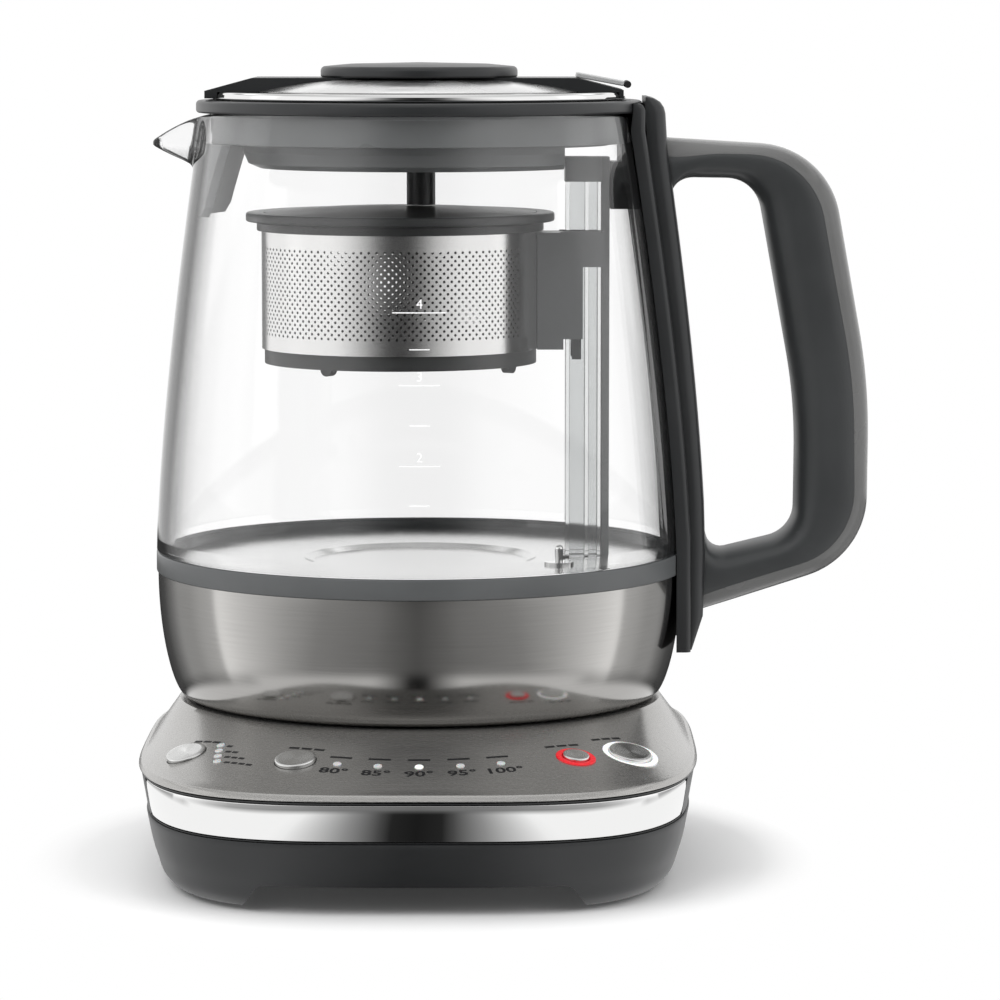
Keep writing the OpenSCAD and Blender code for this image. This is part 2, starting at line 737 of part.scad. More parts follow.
// A wall that follows the inside of the glass, between two angles, its sides drawn in downwards
module tongue(a_mid, half_top, half_low, z0, z1, t) {
    steps = 6;
    line = [for (k = [0 : steps]) let (z = mix(z0, z1, k / steps)) [glass_r(z) - glass_wall - 0.35, z]];
    intersection() {
        rotate_extrude() polygon(concat(line, [for (k = [steps : -1 : 0]) line[k] - [t, 0]]));
        rotate([0, 0, a_mid]) rotate([90, 0, 90]) linear_extrude(height = base_w)
            polygon([[-half_low + 3, z0], [half_low - 3, z0], [half_low, z0 + 3],
                [half_top, z1], [-half_top, z1], [-half_low, z0 + 3]]);
    }
}
tongue_drop = 31.4;
tongue_z0 = rim_z - tongue_drop;
tongue_z1 = rim_z - skirt_h - 0.05;
tongue_top = 31;
tongue_low = 26;
tongue_t = 2;
module spout_filter() {
    color(mid_plastic) difference() {
        tongue(180, tongue_top, tongue_low, tongue_z0, tongue_z1, tongue_t);
        strainer_hole(0.15);
    }
}
strainer_w = 22;
strainer_h = 15;
strainer_z = tongue_z0 + 5;
strainer_frame = 2;
slot_h = 1.4;
slot_pitch = 2.8;
module strainer_hole(grow) {
    translate([-glass_foot_r, -strainer_w / 2 - grow, strainer_z - grow])
        cube([glass_foot_r / 2, strainer_w + 2 * grow, strainer_h + 2 * grow]);
}
module spout_strainer() {
    color(rubber_black) difference() {
        intersection() {
            tongue(180, tongue_top, tongue_low, tongue_z0, tongue_z1, 1.2);
            strainer_hole(0);
        }
        for (z = [strainer_z + 1.2 : slot_pitch : strainer_z + strainer_h - strainer_frame])
            translate([-base_w, -strainer_w / 2 + strainer_frame, z])
                cube([base_w, strainer_w - 2 * strainer_frame, slot_h]);
    }
}

block_low = 29.4;
block_half = 9;
// The block that ties the mast's top to the handle's side of the collar
module mast_block() {
    x0 = riser_x + strip_t + fit_gap;
    z0 = rim_z - block_low;
    color(dark_plastic) intersection() {
        translate([x0, -block_half, z0]) cube([30, 2 * block_half, tongue_z1 - z0]);
        difference() {
            glass_outer(-glass_wall - 0.35, glass_z);
            translate([0, 0, rim_z - 15]) cylinder(r = collar_in + 0.3, h = 30);
        }
    }
}

// ---------- riser ----------
riser_z = floor_z + plate_t;
riser_top = rim_z - 21.2;
riser_in = riser_x - riser_l;
divider_x = riser_x - 4.5;
module riser_tube() {
    color(clear_glass) {
        difference() {
            translate([riser_in, -riser_w / 2, riser_z]) cube([riser_l, riser_w, riser_top - riser_z]);
            translate([riser_in + riser_wall, -riser_w / 2 + riser_wall, riser_z - 1])
                cube([divider_x - riser_in - 1.5 * riser_wall, riser_w - 2 * riser_wall, glass_h]);
            translate([divider_x + riser_wall / 2, -riser_w / 2 + riser_wall, riser_z - 1])
                cube([riser_x - divider_x - 1.5 * riser_wall, riser_w - 2 * riser_wall, glass_h]);
        }
        difference() {
            translate([riser_in - 3, -riser_w / 2 - 3, riser_z])
                cube([riser_l + 3, riser_w + 6, 1.2]);
            translate([riser_in + eps, -riser_w / 2 + eps, riser_z - 1])
                cube([riser_l, riser_w - 2 * eps, 4]);
        }
    }
}
module mast_strip() {
    color(dark_plastic) translate([riser_x, -riser_w / 2, riser_z])
        cube([strip_t, riser_w, riser_top + cap_h - riser_z]);
}
module tube_cap() {
    color(mid_plastic) difference() {
        translate([riser_in - 0.3, -riser_w / 2, riser_top]) cube([riser_l + 0.3, riser_w, cap_h]);
        translate([riser_in + riser_wall, -riser_w / 2 + riser_wall, riser_top - 1])
            cube([riser_l - 2 * riser_wall, riser_w - 2 * riser_wall, cap_h - 1]);
    }
}

// ---------- handle ----------
strap_z = jug_z + 15.4;
strap_top = collar_z - 0.7;
hump_top = collar_z + 1.2;
// Height as a share of the way from the foot of the glass (0) to its rim (1)
function at_share(v) = glass_z + glass_h * v;
// The seam between strap and plate, and the plate's outer face: [x, z] from the bottom up
function seam_line() = [[glass_foot_r + 1.8, strap_z], [glass_foot_r + 1.8, at_share(0.04)],
    for (k = [1 : 12]) let (z = at_share(0.04 + 0.92 * k / 12)) [seam_x(z), z]];
function seam_x(z) = sqrt(pow(glass_r(z), 2) - pow(strap_w / 2, 2)) + strap_t + 0.4;
function face_x(z) = seam_x(z) + mix(backplate_t + 0.6, backplate_t + 2, (z - glass_z) / glass_h);
module revolved_clearance() {
    gap = 0.3;
    collar_r = glass_rim_r + collar_proud + gap;
    rotate_extrude($fn = 360) polygon(concat([[0, 0], [trim_r + gap, 0]], [[trim_r + gap, glass_z + 1]],
        [for (p = glass_line(gap)) if (p[1] > glass_z + 2) p],
        [[collar_r, rim_z - gap], [collar_r, hump_top + 20], [0, hump_top + 20]]));
}
module slab(w, points) {
    rotate([90, 0, 0]) linear_extrude(height = w, center = true) polygon(points);
}
module handle_strap() {
    line = seam_line();
    top_x = seam_x(at_share(0.96));
    color(dark_plastic) difference() {
        slab(strap_w, concat([[glass_rim_r / 2, strap_z]], line,
            [[top_x, strap_top - 2], [top_x - 2, strap_top], [glass_rim_r / 2, strap_top]]));
        revolved_clearance();
        handle_bores();
    }
}
function plate_outline() = concat(seam_line(),
    [[seam_x(at_share(0.96)), strap_top - 2], [seam_x(at_share(0.96)) - 2, strap_top],
     [glass_rim_r - 1, strap_top], [glass_rim_r - 0.5, hump_top - 0.4], [glass_rim_r + 3, hump_top],
     [glass_rim_r + 6, hump_top - 1.4]], face_line());
// The plate's outer face, from the top down
function face_line() = concat([[glass_rim_r + 8.2, hump_top - 5]],
    [for (k = [12 : -1 : 1]) let (z = at_share(0.04 + 0.88 * k / 12)) [face_x(z), z]],
    [[glass_foot_r + 6.4, at_share(0)], [glass_foot_r + 5.8, at_share(-0.145)],
     [glass_foot_r + 2.2, strap_z]]);

// The grip's outer and inner lines, corners with radii
x_face_top = face_x(at_share(0.93));
grip_x = glass_foot_r + grip_reach;
function outer_path() = round_path([[x_face_top - 2, at_share(0.944)],
    [grip_x - 12.7, at_share(0.92), 26], [grip_x + 0.4, at_share(0.38), 180],
    [grip_x, at_share(-0.018), 26], [glass_foot_r + 2.5, at_share(-0.148)]]);
function inner_path() = round_path([[x_face_top - 0.5, at_share(0.79)],
    [x_face_top + 1, at_share(0.853), 6], [grip_x - 34.8, at_share(0.85), 11],
    [grip_x - 22.3, at_share(0.34), 160], [grip_x - 22.6, at_share(0.04), 10],
    [glass_foot_r + 8.6, at_share(-0.006), 5], [glass_foot_r + 6.0, at_share(0.06)]]);
grip_rings = 44;
grip_sides = 20;
grip_power = 0.72;
// One ring of the grip's rounded section between its outer and inner lines, cut flat at a depth
// from the outer line: the part outside the cut, or the part inside it
function grip_ring(share, depth, inside) =
    let (po = outer_path(), pi = inner_path(), o = along(po, lengths(po), share),
         i = along(pi, lengths(pi), share), d = norm(i - o), dir = (i - o) / d,
         cut = acos(sgn_pow(1 - 2 * depth / d, 1 / grip_power)),
         from = inside ? cut : -cut, to = inside ? 360 - cut : cut)
    [for (k = [0 : grip_sides])
        let (a = mix(from, to, k / grip_sides), y = -grip_w / 2 * sgn_pow(sin(a), grip_power),
             p = o + dir * d / 2 * (1 - sgn_pow(cos(a), grip_power)))
        [p[0], y, p[1]]];
module grip_skin(depth, inside) {
    skin([for (k = [0 : grip_rings]) grip_ring(k / grip_rings, depth, inside)]);
}
module handle_grip() {
    color(dark_plastic) difference() {
        union() {
            difference() {
                slab(plate_w, plate_outline());
                revolved_clearance();
            }
            difference() {
                grip_skin(spine_t, true);
                slab(strap_w, concat([[0, 0], [glass_foot_r + 2.8, 0]],
                    [for (p = seam_line()) p + [1, 0]],
                    [[seam_x(at_share(0.96)) + 1, strap_top + 20], [0, strap_top + 20]]));
            }
        }
        handle_bores();
    }
}
module handle_spine() {
    color(mid_plastic) difference() {
        grip_skin(spine_t - eps, false);
        slab(strap_w, concat([[0, hump_top], [glass_rim_r + 8.2, hump_top]],
            [for (p = face_line()) p + [fit_gap, 0]], [[glass_foot_r, strap_z - 10], [0, strap_z - 10]]));
    }
}
// Screws through the strap into the plate, in blind bores that end inside the plate's face
handle_screw_z = [at_share(0.08), at_share(0.86)];
screw_skin = 1;
module handle_bores() {
    for (z = handle_screw_z) translate([0, 0, z]) rotate([0, 90, 0])
        cylinder(r = screw_r + eps, h = face_x(z) - screw_skin);
}
module handle_screws() {
    color(bright_steel) for (z = handle_screw_z)
        translate([glass_r(z) + 1, 0, z]) rotate([0, 90, 0])
            cylinder(r = screw_r, h = face_x(z) - screw_skin - 0.5 - glass_r(z) - 1);
}

// ---------- lid ----------
dome_z = lid_z + lid_rim_h;
bridge_z = dome_z + dome_h;
module lid_rim() {
    round = 0.9;
    color(bright_steel) rotate_extrude()
        polygon([[cup_r - 8, lid_z], [lid_r - round, lid_z], [lid_r, lid_z + round], [lid_r, dome_z - round],
            [lid_r - round, dome_z], [cup_r - 8, dome_z]]);
}
function dome_at(r) = dome_z + dome_h * (1 - pow(r / dome_r, dome_power));
module dome_solid(r) {
    steps = 12;
    rotate_extrude() polygon(concat([[0, dome_z], [r, dome_z]],
        [for (k = [steps - 1 : -1 : 0]) let (q = r * sin(90 * k / steps)) [q, dome_at(q)]]));
}
module lid_dome() {
    color(bright_steel) difference() {
        dome_solid(dome_r);
        bridge_cut();
    }
}
// Outline of the bridge across the lid, seen from the front
bridge_r = lid_r + 1.4;
module bridge_slab(w) {
    slab(w, [[-bridge_r, lid_z + 0.4], [-bridge_r, dome_z + 0.4], [-dome_r + 0.5, bridge_z],
        [dome_r - 3, bridge_z], [bridge_r - 2.5, dome_z + 0.6], [bridge_r - 2.5, lid_z + 0.4]]);
}
module bridge_cut() {
    translate([-base_w / 2, -bridge_w / 2, dome_z - 1]) cube([base_w, bridge_w, 30]);
}
module lid_bridge() {
    color(dark_plastic) difference() {
        intersection() {
            bridge_slab(bridge_w - 2 * fit_gap);
            cylinder(r = bridge_r, h = 2 * rim_z);
        }
        cylinder(r = lid_r + fit_gap, h = dome_z + eps);
        cylinder(r = screw_r + eps, h = 2 * rim_z);
    }
}
module lid_knob() {
    z = bridge_z;
    // The knob's edge, [how far in from its radius, height]
    edge = [[0.6, 0], [0, 0.5], [0, 0.43 * knob_h], [0.5, 0.6 * knob_h], [2.3, 0.74 * knob_h],
        [9, 0.9 * knob_h]];
    color(dark_plastic) difference() {
        rotate_extrude() polygon(concat([[0, z]], [for (e = edge) [knob_r - e[0], z + e[1]]],
            [[0, z + knob_h]]));
        translate([0, 0, z - 1]) cylinder(r = screw_r + eps, h = 0.5 * knob_h + 1);
    }
}
cup_low = 16.9;
step_low = 10;
flat_x = riser_in - 1.2;
plug_r = cup_r + 4;
module lid_plug() {
    z0 = rim_z - cup_low;
    z1 = rim_z - step_low;
    wall = 2;
    color(dark_plastic) difference() {
        union() {
            difference() {
                rotate_extrude() polygon([[0, z0], [cup_r - 5, z0], [cup_r - 1.5, z0 + 1.5], [cup_r, z0 + 5],
                    [cup_r, z1 + eps], [0, z1 + eps]]);
                translate([flat_x, -base_w / 2, z0 - 1]) cube([base_w, base_w, z1 - z0 + 1]);
            }
            translate([0, 0, z1]) cylinder(r = plug_r, h = lid_z - z1);
        }
        difference() {
            translate([0, 0, z0 + wall]) cylinder(r = cup_r - wall - 3, h = rim_z);
            translate([flat_x - wall, -base_w / 2, z0]) cube([base_w, base_w, z1 - z0 + wall]);
        }
        rotate_extrude() translate([plug_r - gasket_in, gasket_z]) square([gasket_in + 1, gasket_h]);
        translate([stem_x, 0, z0 - 1]) cylinder(r = screw_r + fit_gap, h = wall + 2);
    }
}
gasket_h = 2.4;
gasket_in = 1.2;
gasket_z = rim_z - 5.2;
module lid_gasket() {
    tip = collar_in - 0.3;
    root = plug_r + 0.6;
    color("#8a8c8d") rotate_extrude()
        polygon([[plug_r - gasket_in, gasket_z], [root, gasket_z], [tip, gasket_z + 0.6],
            [tip, gasket_z + 1.5], [root, gasket_z + gasket_h], [plug_r - gasket_in, gasket_z + gasket_h]]);
}
stem_x = 0.5;
module lid_stem() {
    z1 = rim_z - cup_low;
    color(dark_plastic) {
        translate([stem_x, 0, basket_top + 0.3]) cylinder(r = stem_r, h = z1 - basket_top - 0.3);
        translate([stem_x, 0, z1 - eps]) cylinder(r = screw_r, h = 6);
    }
}
// Thumb tab on the bridge's slope, towards the handle
tab_t = 1.6;
module tab_place() {
    run = bridge_r - 2.5 - dome_r + 3;
    drop = bridge_z - dome_z - 0.6;
    translate([dome_r - 3, 0, bridge_z + 0.02]) rotate([0, atan(drop / run) - 4, 0]) children();
}
module lid_tab() {
    color(mid_plastic) tab_place()
        translate([0, -tab_w / 2, 0.02]) cube([tab_l - 2 * tip_r, tab_w, tab_t]);
}
tip_r = 1.1;
module tab_tip() {
    color(rubber_black) tab_place()
        translate([tab_l - tip_r, 0, tab_t / 2]) rotate([90, 0, 0])
            cylinder(r = tip_r, h = tab_w, center = true);
}

// ---------- tea basket ----------
drum_z = glass_z + basket_rise;
drum_top = drum_z + drum_h;
rim_low_h = 2.5;
rim_h = 3.1;
basket_rim_z = drum_top;
basket_rim_top = basket_rim_z + rim_low_h + rim_h;
basket_top = basket_rim_top + basket_lid_h;
module at_basket() { translate([-basket_off, 0, 0]) children(); }
module basket_drum() {
    color(bright_steel) at_basket() translate([0, 0, drum_z]) difference() {
        cylinder(r = drum_r, h = drum_h);
        translate([0, 0, -1]) cylinder(r = drum_r - drum_wall, h = drum_h + 2);
    }
}
lid_seat_r = drum_r - 0.6;
module basket_rim() {
    r0 = drum_r - drum_wall - 1.6;
    r1 = drum_r + rim_proud;
    band_r = drum_r + 1.4;
    round = 0.5;
    z = basket_rim_z;
    z1 = basket_rim_top;
    color(dark_plastic) at_basket() rotate_extrude()
        polygon([[r0, z + eps], [band_r, z + eps], [band_r, z + rim_low_h], [r1, z + rim_low_h + round],
            [r1, z1 - round], [r1 - round, z1], [lid_seat_r, z1], [lid_seat_r, z1 - 1.8], [r0, z1 - 1.8]]);
}
bump_a = [-122, -32, 58, 148];
module basket_foot_ring() {
    r1 = drum_r - 0.85;
    color(mid_plastic) at_basket() {
        difference() {
            translate([0, 0, drum_z - foot_ring_h]) cylinder(r = r1, h = foot_ring_h - eps);
            translate([0, 0, drum_z - foot_ring_h - 1]) cylinder(r = drum_r - 6, h = foot_ring_h + 2);
            translate([0, 0, drum_z - 1]) cylinder(r = drum_r - 3, h = 2);
        }
        for (a = bump_a) rotate([0, 0, a]) translate([drum_r - 3.6, 0, drum_z - foot_ring_h])
            rotate([0, 90, 0]) difference() {
                cylinder(r = 2, h = 3, center = true);
                translate([-4 - eps, -4, -4]) cube([4, 8, 8]);
            }
    }
}
module basket_floor() {
    holes = 3;
    pitch = 11;
    hole_r = 1.2;
    color(bright_steel) at_basket() translate([0, 0, drum_z - 1]) difference() {
        cylinder(r = drum_r - 3.2, h = 0.8);
        for (i = [-holes : holes]) for (j = [-holes : holes])
            if (norm([i, j]) <= holes)
                translate([pitch * i, pitch * j, -1]) cylinder(r = hole_r, h = 4, $fn = 16);
    }
}
cheek_y = riser_w / 2 + slide_gap;
bracket_x0 = drum_r - basket_off + 0.25;
bracket_top = basket_rim_z - 0.3;
module basket_bracket() {
    x1 = riser_in - 0.3 - slide_gap;
    block_h = 10.8;
    color(dark_plastic) difference() {
        union() {
            translate([bracket_x0 - 4, -cheek_y - cheek_t, drum_z - 0.3])
                cube([x1 - bracket_x0 + 4, 2 * (cheek_y + cheek_t), bracket_top - drum_z]);
            for (s = [0, 1]) mirror([0, s, 0]) {
                translate([x1 - 1, cheek_y, drum_z + 2.9])
                    cube([riser_in + 5.1 - x1 + 1, cheek_t, bracket_top - drum_z - 2.9]);
                translate([x1 - 1, cheek_y, bracket_top - block_h])
                    cube([riser_x + 1.6 - x1, cheek_t, block_h]);
            }
        }
        at_basket() translate([0, 0, drum_z - 10]) cylinder(r = drum_r + 0.1, h = drum_h + 20);
    }
}
// The spring latch at the foot of the bracket
module basket_latch() {
    color(rubber_black) for (s = [0, 1]) mirror([0, s, 0])
        translate([riser_in + 1.8, cheek_y + 0.2, drum_z - 3.3])
            cube([2.8, cheek_t - 0.4, 6.2 - eps]);
}
module basket_lid() {
    r = lid_seat_r - basket_lid_gap;
    z = basket_rim_top - 1.5;
    steps = 10;
    color(dark_plastic) at_basket() difference() {
        rotate_extrude() polygon(concat([[0, z], [r, z], [r, basket_rim_top]],
            [for (k = [steps : -1 : 0]) let (q = (r - 0.5) * k / steps)
                [q, basket_rim_top + basket_lid_h * (1 - pow(q / r, 2))]]));
        translate([0, 0, z - 1]) cylinder(r = r - 12, h = 1.8);
    }
}

base_housing();
base_frame();
base_cover();
chrome_band();
rubber_feet();
base_screws();
base_connector();
power_board();
control_board();
switches();
strength_button();
temperature_button();
keep_warm_button();
start_button();
keep_warm_ring();
start_ring();
strength_lights();
temperature_lights();
cord_inlet();
glass_jug();
glass_seal();
trim_ring();
jug_bowl();
heating_plate();
heating_element();
jug_bottom_cover();
bottom_cover_screws();
jug_connector();
temperature_probe();
collar();
spout_filter();
spout_strainer();
mast_block();
riser_tube();
mast_strip();
tube_cap();
handle_strap();
handle_grip();
handle_spine();
handle_screws();
lid_rim();
lid_dome();
lid_bridge();
lid_knob();
lid_plug();
lid_gasket();
lid_stem();
lid_tab();
tab_tip();
basket_drum();
basket_rim();
basket_foot_ring();
basket_floor();
basket_bracket();
basket_latch();
basket_lid();
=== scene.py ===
"""The looks of the automatic tea maker: glass jug, steel bowl, tea basket and power base.
Lengths are in millimetres until a mesh is made, and the axes are the frame's."""
import math
import bmesh
import bpy
from mathutils import Matrix, Vector

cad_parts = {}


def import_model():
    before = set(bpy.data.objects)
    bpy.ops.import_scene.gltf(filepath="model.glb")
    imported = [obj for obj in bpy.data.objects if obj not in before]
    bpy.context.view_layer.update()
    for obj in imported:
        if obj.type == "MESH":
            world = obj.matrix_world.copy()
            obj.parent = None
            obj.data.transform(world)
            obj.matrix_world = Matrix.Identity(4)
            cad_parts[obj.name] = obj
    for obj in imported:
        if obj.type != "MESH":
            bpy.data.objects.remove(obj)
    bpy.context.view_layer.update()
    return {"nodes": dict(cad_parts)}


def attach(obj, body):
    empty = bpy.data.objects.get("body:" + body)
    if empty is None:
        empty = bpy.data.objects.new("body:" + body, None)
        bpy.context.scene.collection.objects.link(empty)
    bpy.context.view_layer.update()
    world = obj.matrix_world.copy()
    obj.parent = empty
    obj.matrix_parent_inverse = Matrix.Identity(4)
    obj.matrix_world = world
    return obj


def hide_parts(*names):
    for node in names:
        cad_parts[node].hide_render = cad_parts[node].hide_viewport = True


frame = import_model()
MM = 0.001

# ---------- sizes of the part ----------
BASE_W, BASE_FRONT, BASE_BACK, PLAN_POWER = 170, 116, 86, 3.5
FOOT_H, HOUSING_H, FRAME_H, COVER_H, LIP_H = 1.5, 20.4, 12.4, 14.4, 2.3
FRAME_Z = FOOT_H + HOUSING_H
COVER_Z = FRAME_Z + FRAME_H + 0.2
SEAT_Z = COVER_Z + COVER_H
LIP_Z = COVER_Z + LIP_H
SEAT_R, WELL_R = 74.5, 21
BOTTOM_INSET, BASE_WALL = 10, 2.4
SHOULDER_INSET = 2
ARCH_W, ARCH_H, ARCH_RUN, ARCH_ROUND = 100, 7.3, 4.7, 5
BAND_ANGLE, BAND_T, BAND_REVEAL = 50, 1.2, 0.5
BAND_TOP_INSET, BAND_LEAN = 0.6, 2.4
CONTROLS_R, BUTTON_PROUD, BUTTON_GAP, RING_W = 97.5, 1.3, 0.25, 1.8
JUG_Z = SEAT_Z + 0.3
BOWL_H, BOWL_FOOT_R, BOWL_WALL = 39, 72.4, 1.2
TRIM_Z = JUG_Z + BOWL_H
TRIM_H = 6.3
GLASS_Z = TRIM_Z + TRIM_H
GLASS_FOOT_R, GLASS_RIM_R, GLASS_H, GLASS_WALL, GLASS_POWER = 81.4, 66.9, 134.5, 2.8, 1.42
GLASS_SINK = 4.2
TRIM_R, RING_WALL = GLASS_FOOT_R + 0.1, 1.9
NECK_R = TRIM_R - RING_WALL - 0.2
BOWL_R = GLASS_FOOT_R - 0.4
RIM_Z = GLASS_Z + GLASS_H
COLLAR_H, COLLAR_PROUD = 3.8, 1.5
COLLAR_Z = RIM_Z + COLLAR_H
SKIRT_R = GLASS_RIM_R - GLASS_WALL - 0.3
SKIRT_T, SKIRT_H = 1.8, 9.4
SPOUT_REACH, SPOUT_DROP, SPOUT_LIP, SPOUT_LOW = 82.5, 8.4, 2.8, 21.4
STRAP_W, PLATE_W, GRIP_W, GRIP_REACH, SPINE_T = 44, 35, 27, 56.8, 5.5
STRAP_T, BACKPLATE_T = 4.4, 4.2
STRAP_Z = JUG_Z + 15.4
STRAP_TOP = COLLAR_Z - 0.7
HUMP_TOP = COLLAR_Z + 1.2
LID_Z = COLLAR_Z + 0.3
LID_R, LID_RIM_H, DOME_R, DOME_H, DOME_POWER = 63.4, 2.3, 51, 4.3, 3.5
DOME_Z = LID_Z + LID_RIM_H
BRIDGE_Z = DOME_Z + DOME_H
BRIDGE_W, BRIDGE_R = 36, LID_R + 1.4
KNOB_R, KNOB_H, CUP_R = 30.2, 4.6, 54
TAB_L, TAB_W, TAB_T, TIP_R = 17, 16, 1.6, 1.1
BASKET_X, DRUM_R, DRUM_H, DRUM_WALL = -5.9, 42.75, 36.1, 0.8
DRUM_Z = GLASS_Z + 62.3
DRUM_TOP = DRUM_Z + DRUM_H
RIM_PROUD, RIM_LOW_H, RIM_H = 4.75, 2.5, 3.1
BASKET_RIM_TOP = DRUM_TOP + RIM_LOW_H + RIM_H
BASKET_LID_H = 1.8

ROUND_STEPS = 192


# ---------- curves ----------
def mix(a, b, t):
    return a + (b - a) * t


def sin(a):
    return math.sin(math.radians(a))


def cos(a):
    return math.cos(math.radians(a))


def signed_power(v, e):
    return math.copysign(abs(v) ** e, v)


def lookup(x, table):
    """The value at x of a line through points (x, value)."""
    if x <= table[0][0]:
        return table[0][1]
    for (x0, v0), (x1, v1) in zip(table, table[1:]):
        if x <= x1:
            return mix(v0, v1, (x - x0) / (x1 - x0))
    return table[-1][1]


def corner(a, b, c, steps):
    """Points of the arc that rounds the corner b = (x, y, radius) between its neighbours."""
    pa, pb, pc = (Vector(p[:2]) for p in (a, b, c))
    if b[2] <= 0:
        return [tuple(pb)]
    u, v = (pa - pb).normalized(), (pc - pb).normalized()
    half = math.acos(max(-1, min(1, u.dot(v)))) / 2
    cut = min(b[2] / math.tan(half), 0.49 * (pa - pb).length, 0.49 * (pc - pb).length)
    radius = cut * math.tan(half)
    centre = pb + (u + v).normalized() * radius / math.sin(half)
    p = pb + u * cut - centre
    q = pb + v * cut - centre
    turn = math.copysign(math.pi - 2 * half, p.x * q.y - p.y * q.x)
    return [tuple(centre + Matrix.Rotation(turn * k / steps, 2) @ p) for k in range(steps + 1)]


def rounded(points, steps=5):
    """A closed outline with its corners (x, y, radius) rounded."""
    n = len(points)
    out = []
    for i in range(n):
        out += corner(points[i - 1], points[i], points[(i + 1) % n], steps)
    return out


def open_path(points, steps=8):
    """An open path with its inner corners (x, y, radius) rounded."""
    out = [tuple(points[0][:2])]
    for i in range(1, len(points) - 1):
        out += corner(points[i - 1], points[i], points[i + 1], steps)
    return out + [tuple(points[-1][:2])]


def spline(points, steps=6):
    """A smooth line through points of any length, by Catmull and Rom's rule."""
    out = []
    last = len(points) - 1
    for i in range(last):
        p0, p1, p2, p3 = (points[max(0, min(last, i + k))] for k in (-1, 0, 1, 2))
        for k in range(steps):
            t = k / steps
            out.append(tuple(0.5 * (2 * b + (c - a) * t + (2 * a - 5 * b + 4 * c - d) * t * t
                                    + (3 * b - a - 3 * c + d) * t ** 3)
                             for a, b, c, d in zip(p0, p1, p2, p3)))
    return out + [tuple(points[-1])]


def along(path, share):
    """The point at a share of a path's whole length."""
    steps = [(Vector(b) - Vector(a)).length for a, b in zip(path, path[1:])]
    left = share * sum(steps)
    for (a, b), step in zip(zip(path, path[1:]), steps):
        if left <= step or (a, b) == (path[-2], path[-1]):
            return Vector(a).lerp(Vector(b), min(1, left / max(step, 1e-9)))
        left -= step


# ---------- meshes ----------
def loft(rings, closed=False):
    """Vertices and faces of a skin through rings of equally many points."""
    n = len(rings[0])
    m = len(rings)
    verts = [tuple(p) for ring in rings for p in ring]
    faces = []
    for i in range(m if closed else m - 1):
        low, high = i * n, (i + 1) % m * n
        faces += [(low + k, low + (k + 1) % n, high + (k + 1) % n, high + k) for k in range(n)]
    if not closed:
        faces += [tuple(range(n - 1, -1, -1)), tuple((m - 1) * n + k for k in range(n))]
    return verts, faces


def polar(r, a, z, x=0):
    """The point at height z, a distance r from a vertical axis, towards angle a."""
    return x + r * cos(a), r * sin(a), z


def lathe(profile, steps=ROUND_STEPS, x=0):
    """A closed profile [(radius, height)], going up on its outside, turned about a vertical axis."""
    return loft([[polar(r, 360 * k / steps, z, x) for k in range(steps)] for r, z in profile], closed=True)


def prism(outline, width):
    """An outline [(x, z)], counter-clockwise seen from the front, made width thick along Y."""
    n = len(outline)
    verts = [(px, s * width / 2, pz) for s in (-1, 1) for px, pz in outline]
    faces = [tuple(range(n)), tuple(range(2 * n - 1, n - 1, -1))]
    faces += [(k, n + k, n + (k + 1) % n, (k + 1) % n) for k in range(n)]
    return verts, faces


def bevel(obj, width, segments):
    mod = obj.modifiers.new("bevel", "BEVEL")
    mod.width = width * MM
    mod.segments = segments
    mod.limit_method = "ANGLE"
    mod.angle_limit = math.radians(40)
    mod.harden_normals = True


def bake_modifiers(obj):
    bpy.context.view_layer.update()
    graph = bpy.context.evaluated_depsgraph_get()
    mesh = bpy.data.meshes.new_from_object(obj.evaluated_get(graph))
    obj.modifiers.clear()
    obj.data = mesh


def cut(obj, shape):
    """Takes a closed shape out of a piece, and keeps only the result."""
    tool = raw_object("cutter", *shape)
    mod = obj.modifiers.new("cut", "BOOLEAN")
    mod.solver = "EXACT"
    mod.object = tool
    bake_modifiers(obj)
    bpy.data.objects.remove(tool)


def raw_object(name, verts, faces):
    mesh = bpy.data.meshes.new(name)
    mesh.from_pydata([Vector(v) * MM for v in verts], [], faces)
    obj = bpy.data.objects.new(name, mesh)
    bpy.context.scene.collection.objects.link(obj)
    weld(mesh)
    return obj


def weld(mesh):
    """Joins points that lie on each other, such as those on a lathe's axis."""
    bm = bmesh.new()
    bm.from_mesh(mesh)
    bmesh.ops.remove_doubles(bm, verts=bm.verts, dist=1e-7)
    bmesh.ops.recalc_face_normals(bm, faces=bm.faces)
    bm.to_mesh(mesh)
    bm.free()


def soften(obj, angle):
    mesh = obj.data
    for polygon in mesh.polygons:
        polygon.use_smooth = True
    mesh.set_sharp_from_angle(angle=math.radians(angle))


def dress(obj, body, slot, material, instead=()):
    """Gives an object its finish and lets it ride on a body."""
    obj.data.materials.clear()
    obj.data.materials.append(material)
    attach(obj, body)
    if instead:
        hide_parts(*instead)


def piece(name, body, slot, shape, material, instead=(), cuts=(), sharp=35):
    """Makes a shape in millimetres, with its cuts, as a piece of a body."""
    obj = raw_object(name, *shape)
    for cutter in cuts:
        cut(obj, cutter)
    soften(obj, sharp)
    dress(obj, body, slot, material, instead)
    return obj


def joined(*shapes):
    verts, faces = [], []
    for v, f in shapes:
        start = len(verts)
        verts += v
        faces += [tuple(start + i for i in face) for face in f]
    return verts, faces


# ---------- materials ----------
def feed(tree, socket, value):
    """Sets a socket to a number or a colour, or links it."""
    if isinstance(value, (int, float, tuple)):
        socket.default_value = value
    elif value is not None:
        tree.links.new(value, socket)


